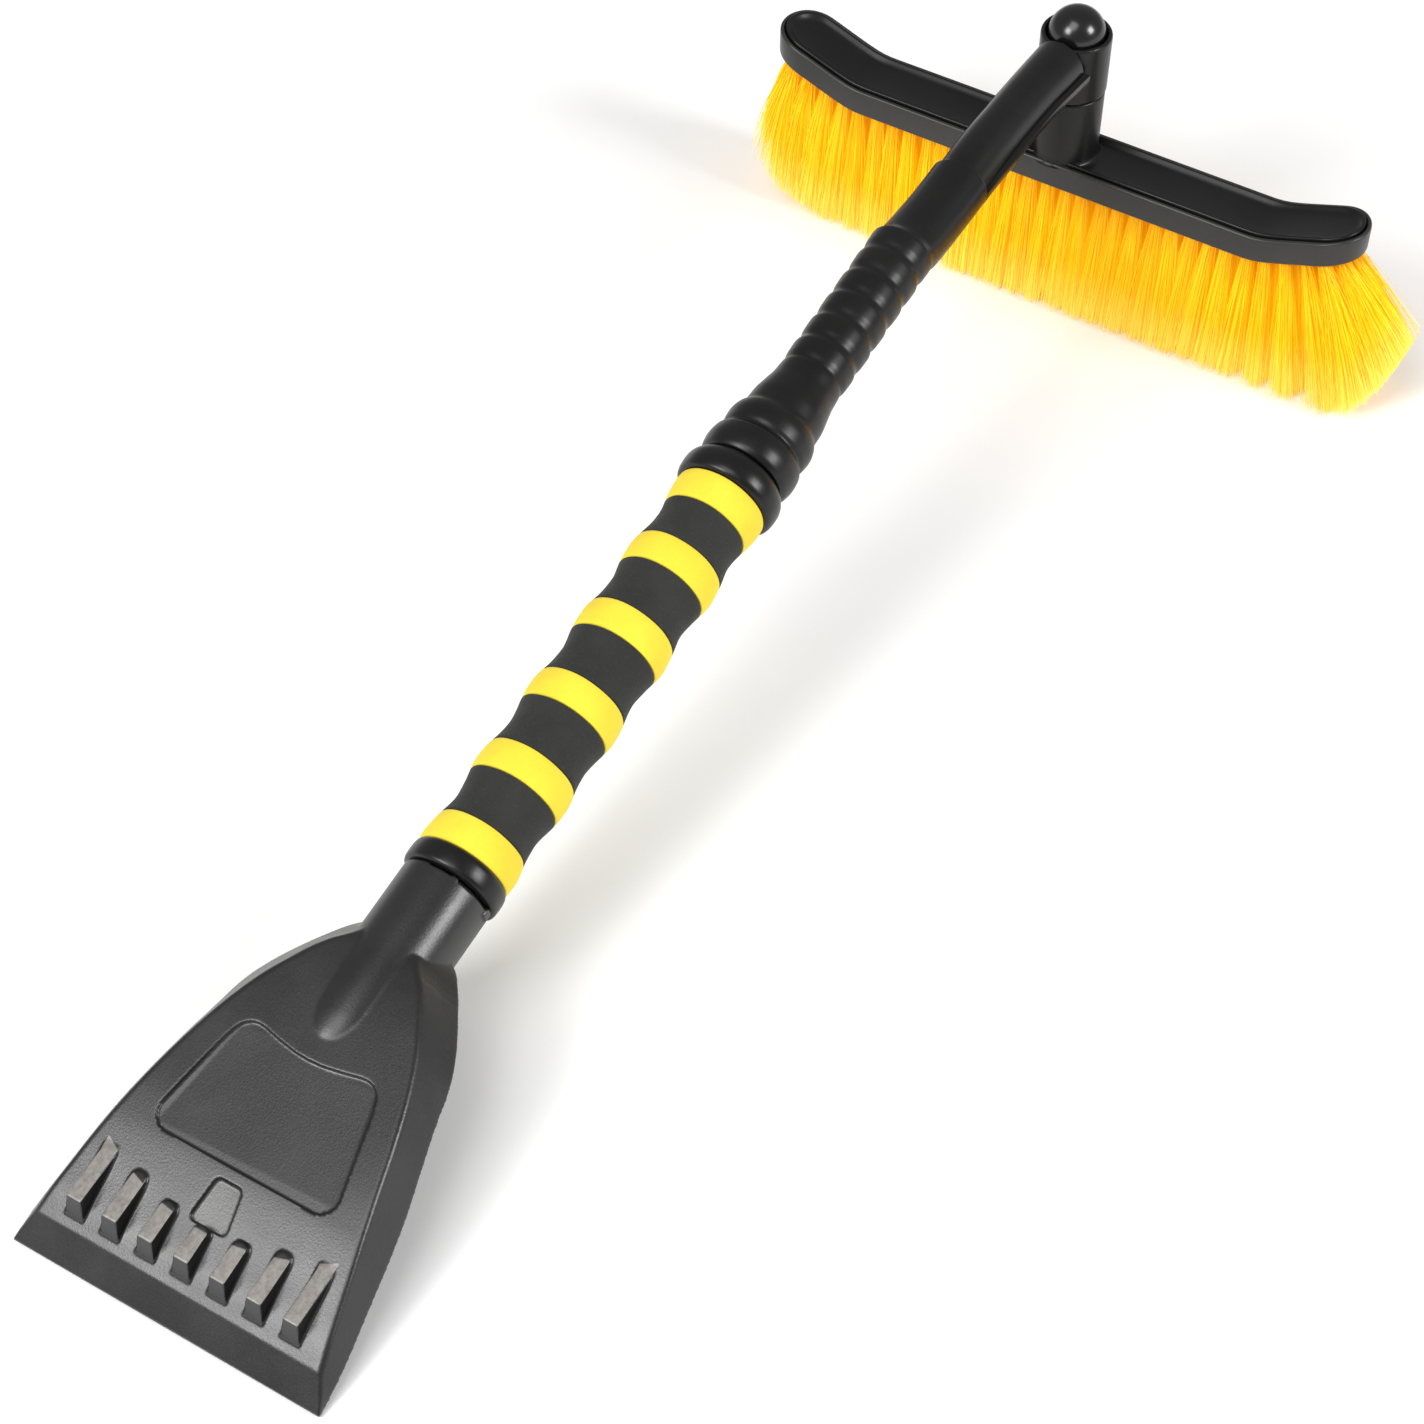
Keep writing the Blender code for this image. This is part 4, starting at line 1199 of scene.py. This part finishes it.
@dataclass(frozen=True)
class BrushHead:
    """Block, dished cover with its pivot post, and five rows of tufts."""

    outline: HeadOutline = HeadOutline()
    block: Table = ((15.4, -13.0), (1.2, -13.0), (0.5, -12.75), (0.1, -12.3), (0.0, -11.7),
                    (0.0, -6.0), (0.0, -2.2), (0.1, -1.6), (0.35, -1.2), (0.75, -0.95),
                    (1.25, -0.85), (1.6, -0.95), (1.9, -1.4), (2.1, -2.2), (2.2, -6.3),
                    (15.4, -6.3))
    cover: Table = ((15.4, -6.0), (2.75, -6.0), (2.6, -5.6), (2.6, -0.45), (2.72, -0.05),
                    (3.0, 0.2), (3.5, 0.3), (3.95, 0.2), (4.3, -0.05), (4.9, -0.65),
                    (5.7, -1.35), (6.8, -1.85), (8.2, -2.1), (15.4, -2.2))
    post: Table = ((-4.0, 0.0), (-4.0, 12.0), (-2.6, 12.4), (-2.2, 16.4), (-1.7, 15.6),
                   (-0.9, 15.05), (0.4, 14.8), (2.0, 14.7), (28.6, 14.7), (29.2, 14.55),
                   (29.6, 14.1), (29.7, 13.6), (29.7, 11.7), (39.4, 11.7), (39.9, 11.2),
                   (39.9, 7.6), (32.0, 7.6), (32.0, 0.0))
    row_offsets: tuple[float, ...] = (-11.2, -5.6, 0.0, 5.6, 11.2)

    def build(self, local: LocalFrame, finishes: Finishes) -> None:
        """Models the block, the cover and the bristles."""
        block = BENCH.sweep("brush_block_moulded",
                            [self.outline.ring(d, h) for d, h in self.block])
        BENCH.place(block, local)
        BENCH.smooth(block, 50.0)
        settle(block, Body.BRUSH_HEAD, finishes.block, ("brush_block",))
        cover = BENCH.sweep("brush_cover_moulded",
                            [self.outline.ring(d, h) for d, h in self.cover])
        BENCH.combine(cover, BENCH.lathe("post", self.post, "Z", 96), Cut.JOIN)
        BENCH.place(cover, local)
        BENCH.smooth(cover, 50.0)
        settle(cover, Body.BRUSH_HEAD, finishes.cover, ("brush_cover",))
        for index, offset in enumerate(self.row_offsets):
            row = BristleRow(index + 1, offset, self.outline)
            row.build(local, finishes.bristle)


@dataclass(frozen=True)
class Fan:
    """How the tufts at one end of the brush lean out, and the corner they are trimmed to."""

    reach: float
    spread: float
    bow: float
    corner_from: float
    corner_to: float
    corner_height: float

    def trim(self, tips: np.ndarray) -> np.ndarray:
        """Gives how far tips are trimmed above the brush's flat foot.

        Args:
            tips: Distances of the tips from the head's middle.

        Returns:
            Heights above the foot.
        """
        share = np.clip((tips - self.corner_from) / (self.corner_to - self.corner_from), 0, 1)
        return self.corner_height * (1.0 - np.sqrt(1.0 - share ** 2))


@dataclass(frozen=True)
class BristleRow:
    """One row of tufts of loose filaments across the head's length."""

    number: int
    offset: float
    outline: HeadOutline
    pitch: float = 8.4
    first: float = 131.5
    fan_from: float = 98.0
    right_end: Fan = Fan(reach=31.0, spread=0.9, bow=1.5, corner_from=139.0,
                         corner_to=167.5, corner_height=44.0)
    left_end: Fan = Fan(reach=9.5, spread=1.1, bow=2.2, corner_from=102.0,
                        corner_to=144.0, corner_height=34.0)
    root_radius: float = 2.75
    tip_radius: float = 6.4
    strands: int = 285
    strand_radius: float = 0.15
    tip_height: float = -73.3
    block_foot: float = -12.0
    splay: float = 0.30

    def strand(self) -> tuple[np.ndarray, np.ndarray]:
        """Models one filament: a thin three-sided rod, cut into lengths and tapered.

        Returns:
            Its points, with Z from 0 at the root to 1 at the tip, and its triangles.
        """
        BENCH.clear()
        bpy.ops.mesh.primitive_cylinder_add(vertices=3, radius=1.0, depth=1.0,
                                            location=(0, 0, 0.5))
        rod = bpy.context.object
        bpy.ops.object.transform_apply(location=True)
        bpy.ops.object.mode_set(mode="EDIT")
        for height in (0.3, 0.65):
            bpy.ops.mesh.select_all(action="SELECT")
            bpy.ops.mesh.bisect(plane_co=(0, 0, height), plane_no=(0, 0, 1))
        bpy.ops.mesh.select_all(action="SELECT")
        bpy.ops.mesh.quads_convert_to_tris()
        bpy.ops.object.mode_set(mode="OBJECT")
        points = np.array([v.co for v in rod.data.vertices])
        points[:, :2] *= 1.0 - 0.3 * points[:, 2:] ** 2
        faces = np.array([p.vertices for p in rod.data.polygons])
        bpy.data.objects.remove(rod)
        return points, faces

    def build(self, local: LocalFrame, finish: bpy.types.Material) -> None:
        """Fills the row with tufts and hands it over."""
        draw = np.random.default_rng(4100 + self.number)
        points, faces = self.strand()
        verts, along, strand, tuft = [], [], [], []
        for place in self._places():
            verts.append(self._tuft(place, points, draw).reshape(-1, 3))
            along.append(np.tile(points[:, 2], self.strands))
            strand.append(np.repeat(draw.random(self.strands), len(points)))
            tuft.append(np.full(self.strands * len(points), draw.random()))
        self._mesh(np.concatenate(verts), faces, (along, strand, tuft), local, finish)

    def _places(self) -> np.ndarray:
        """Middles of the tufts along the row, staggered from row to row."""
        outer = self.first - 4.0 * (self.offset / 11.2) ** 2
        count = round(2 * outer / self.pitch) + self.number % 2
        shift = np.sin(np.arange(count) * 2.4 + 1.7 * self.number)
        return np.linspace(-outer, outer, count) + 0.8 * shift

    def _tuft(self, place: float, points: np.ndarray, draw: np.random.Generator) -> np.ndarray:
        """Spreads one tuft's strands from its hole to the trimmed tips.

        Args:
            place: Middle of the tuft along the row.
            points: Points of one strand.
            draw: Source of chance.

        Returns:
            An array of strands, their points and the three coordinates.
        """
        count, z = self.strands, points[None, :, 2]
        fan = self.right_end if place < 0 else self.left_end
        side = math.copysign(1.0, place)
        radius = np.sqrt(draw.random(count))
        turn = draw.random(count) * 2 * math.pi
        inner = np.stack([np.cos(turn) * radius, np.sin(turn) * radius], axis=1)
        root = np.stack([self.offset + self.root_radius * inner[:, 0],
                         place + self.root_radius * inner[:, 1],
                         np.full(count, self.block_foot + self.outline.lift(place))], axis=1)
        # Share of the end's fan that this strand takes part in
        spot = np.abs(place + self.root_radius * inner[:, 1] * side)
        share = np.clip((spot - self.fan_from) / (self.first + 2.0 - self.fan_from), 0.0, 1.0)
        scatter = draw.normal(0, 1.2, (count, 2))
        tip = np.empty((count, 3))
        tip[:, 0] = (self.offset * (1.0 + self.splay) + self.tip_radius * inner[:, 0]
                     + scatter[:, 0])
        reach = (abs(place) + fan.reach * share ** fan.spread + draw.normal(0, 1.3)
                 + side * (self.tip_radius * (1.0 + 0.3 * share) * inner[:, 1]
                           + scatter[:, 1] * (1.0 + 3.0 * share)))
        reach = np.minimum(reach, fan.corner_to - np.abs(draw.normal(0, 1.2, count)))
        tip[:, 1] = side * reach
        tip[:, 2] = self.tip_height + fan.trim(reach) + np.abs(draw.normal(0, 0.55, count))
        bow = fan.bow * share * side + draw.normal(0, 0.35, count)
        swell = np.sin(z * math.pi)
        ripple = np.sin(z * 6.0 + draw.random(count)[:, None] * 6.3) * z
        wave = draw.normal(0, 0.12, (count, 2))
        path = root[:, None] * (1.0 - z[..., None]) + tip[:, None] * z[..., None]
        thick = self.strand_radius * draw.uniform(0.85, 1.15, count)[:, None]
        spin = draw.random(count)[:, None] * 2 * math.pi
        x, y = points[None, :, 0], points[None, :, 1]
        path[..., 0] += (x * np.cos(spin) - y * np.sin(spin)) * thick + wave[:, :1] * ripple
        path[..., 1] += ((x * np.sin(spin) + y * np.cos(spin)) * thick
                         + wave[:, 1:] * ripple + bow[:, None] * swell)
        return path

    def _mesh(self, verts: np.ndarray, faces: np.ndarray, traits: tuple,
              local: LocalFrame, finish: bpy.types.Material) -> None:
        """Turns the strands' points into one mesh object.

        Args:
            verts: Points of all strands, strand by strand.
            faces: Triangles of one strand.
            traits: Values along the strand, per strand and per tuft, for the finish.
            local: The brush's frame.
            finish: The fibre's material.
        """
        size = int(faces.max()) + 1
        count = len(verts) // size
        every = (faces[None] + size * np.arange(count)[:, None, None]).reshape(-1, 3)
        mesh = bpy.data.meshes.new(f"bristle_row_{self.number}_tufts")
        mesh.vertices.add(len(verts))
        mesh.vertices.foreach_set("co", verts.astype(np.float32).ravel())
        mesh.loops.add(every.size)
        mesh.loops.foreach_set("vertex_index", every.astype(np.int32).ravel())
        mesh.polygons.add(len(every))
        mesh.polygons.foreach_set("loop_start", np.arange(0, every.size, 3, dtype=np.int32))
        mesh.update(calc_edges=True)
        for name, values in zip(("along", "strand", "tuft"), traits):
            attribute = mesh.attributes.new(name, "FLOAT", "POINT")
            attribute.data.foreach_set("value", np.concatenate(values).astype(np.float32))
        body = bpy.data.objects.new(mesh.name, mesh)
        bpy.context.scene.collection.objects.link(body)
        BENCH.place(body, local)
        BENCH.smooth(body, 80.0)
        settle(body, Body.BRUSH_HEAD, finish, (f"bristle_row_{self.number}",))


# --- Pieces that keep their CAD shape ----------------------------------------------------------


def dress_frame(nodes: dict[str, bpy.types.Object], finishes: Finishes) -> None:
    """Gives the CAD nodes that stay in view or inside their finishes.

    Args:
        nodes: CAD nodes by name.
        finishes: The tool's finishes.
    """
    looks = {"handle_tube": finishes.tube, "lock_cog": finishes.cog}
    for name in ("scraper_pin", "arm_screw", "cover_screw_1", "cover_screw_2", "button_screw",
                 "retaining_clip", "button_spring"):
        looks[name] = finishes.steel
    for name, look in looks.items():
        nodes[name].data.materials.clear()
        nodes[name].data.materials.append(look)
        LOG.info("%s: CAD shape, finish %s", name, look.name)


# --- Studio ------------------------------------------------------------------------------------


@dataclass(frozen=True)
class Softbox:
    """A rectangular studio light aimed at the tool."""

    name: str
    azimuth: float
    elevation: float
    distance: float
    size: tuple[float, float]
    power: float

    def build(self, target: Vector) -> None:
        """Hangs the light."""
        lamp = bpy.data.lights.new(self.name, "AREA")
        lamp.shape = "RECTANGLE"
        lamp.size, lamp.size_y = self.size
        lamp.energy = self.power
        holder = bpy.data.objects.new(self.name, lamp)
        bpy.context.scene.collection.objects.link(holder)
        turn, rise = math.radians(self.azimuth), math.radians(self.elevation)
        away = Vector((math.cos(turn) * math.cos(rise), math.sin(turn) * math.cos(rise),
                       math.sin(rise)))
        holder.location = target + away * self.distance
        holder.rotation_euler = (-away).to_track_quat("-Z", "Y").to_euler()


@dataclass(frozen=True)
class Studio:
    """Pale floor, soft lights and the camera."""

    floor_half: float = 6.0
    floor_gap: float = 0.0006
    camera_place: tuple[float, float, float] = (-0.69131, -0.42594, 0.89327)
    camera_turn: tuple[float, float, float] = (42.1862, -0.5654, -58.489)
    lens: float = 78.22
    lights: tuple[Softbox, ...] = (
        Softbox("softbox_right", -80.0, 32.0, 2.6, (0.85, 0.85), 42.0),
        Softbox("softbox_left", 157.0, 37.0, 2.6, (0.95, 0.95), 44.0),
        Softbox("softbox_high_left", 170.0, 63.0, 2.8, (1.5, 1.5), 30.0),
    )

    def build(self) -> None:
        """Sets the floor, lights, surroundings and camera."""
        low, high = CAD_BOX
        self._floor(low.z)
        target = (low + high) / 2
        for light in self.lights:
            light.build(target)
        self._world()
        self._camera()

    def _floor(self, level: float) -> None:
        """Lays the floor under the tool."""
        BENCH.clear()
        bpy.ops.mesh.primitive_plane_add(size=2 * self.floor_half,
                                         location=(0, 0, level - self.floor_gap))
        floor = bpy.context.object
        floor.name = "studio_floor"
        g = Graph("floor_paper")
        fine = g.noise(g.place(), 900.0, 2.0, 0.5)
        g.set(Base_Color=g.mix(fine, (0.90, 0.90, 0.90), (0.93, 0.93, 0.93)), Roughness=0.9,
              Specular_IOR_Level=0.1)
        floor.data.materials.append(g.material)

    @staticmethod
    def _world() -> None:
        """Surrounds the studio with pale light."""
        world = bpy.data.worlds.new("studio_surround")
        bpy.context.scene.world = world
        world.use_nodes = True
        sky = world.node_tree.nodes["Background"]
        sky.inputs["Color"].default_value = (1.0, 1.0, 1.0, 1.0)
        sky.inputs["Strength"].default_value = 0.36

    def _camera(self) -> None:
        """Places the camera."""
        lens = bpy.data.cameras.new("studio_camera")
        lens.lens = self.lens
        lens.sensor_width = 36.0
        lens.clip_start, lens.clip_end = 0.01, 50.0
        camera = bpy.data.objects.new("studio_camera", lens)
        bpy.context.scene.collection.objects.link(camera)
        camera.location = self.camera_place
        camera.rotation_euler = [math.radians(angle) for angle in self.camera_turn]
        bpy.context.scene.camera = camera


def main() -> None:
    """Builds the tool round its frame, then the studio."""
    logging.basicConfig(level=logging.INFO, format="%(message)s")
    bpy.context.scene.view_settings.view_transform = "Standard"
    handle = LocalFrame.handle(frame["record"])
    brush = LocalFrame.brush(frame["joints"])
    finishes = Finishes(handle)
    dress_frame(frame["nodes"], finishes)
    ScraperHead().build(handle, finishes.scraper)
    FoamGrip().build(handle, finishes)
    BrushArm().build(handle, brush, finishes)
    ReleaseButton().build(brush, finishes.button)
    BrushHead().build(brush, finishes)
    Studio().build()


if __name__ == "__main__":
    main()
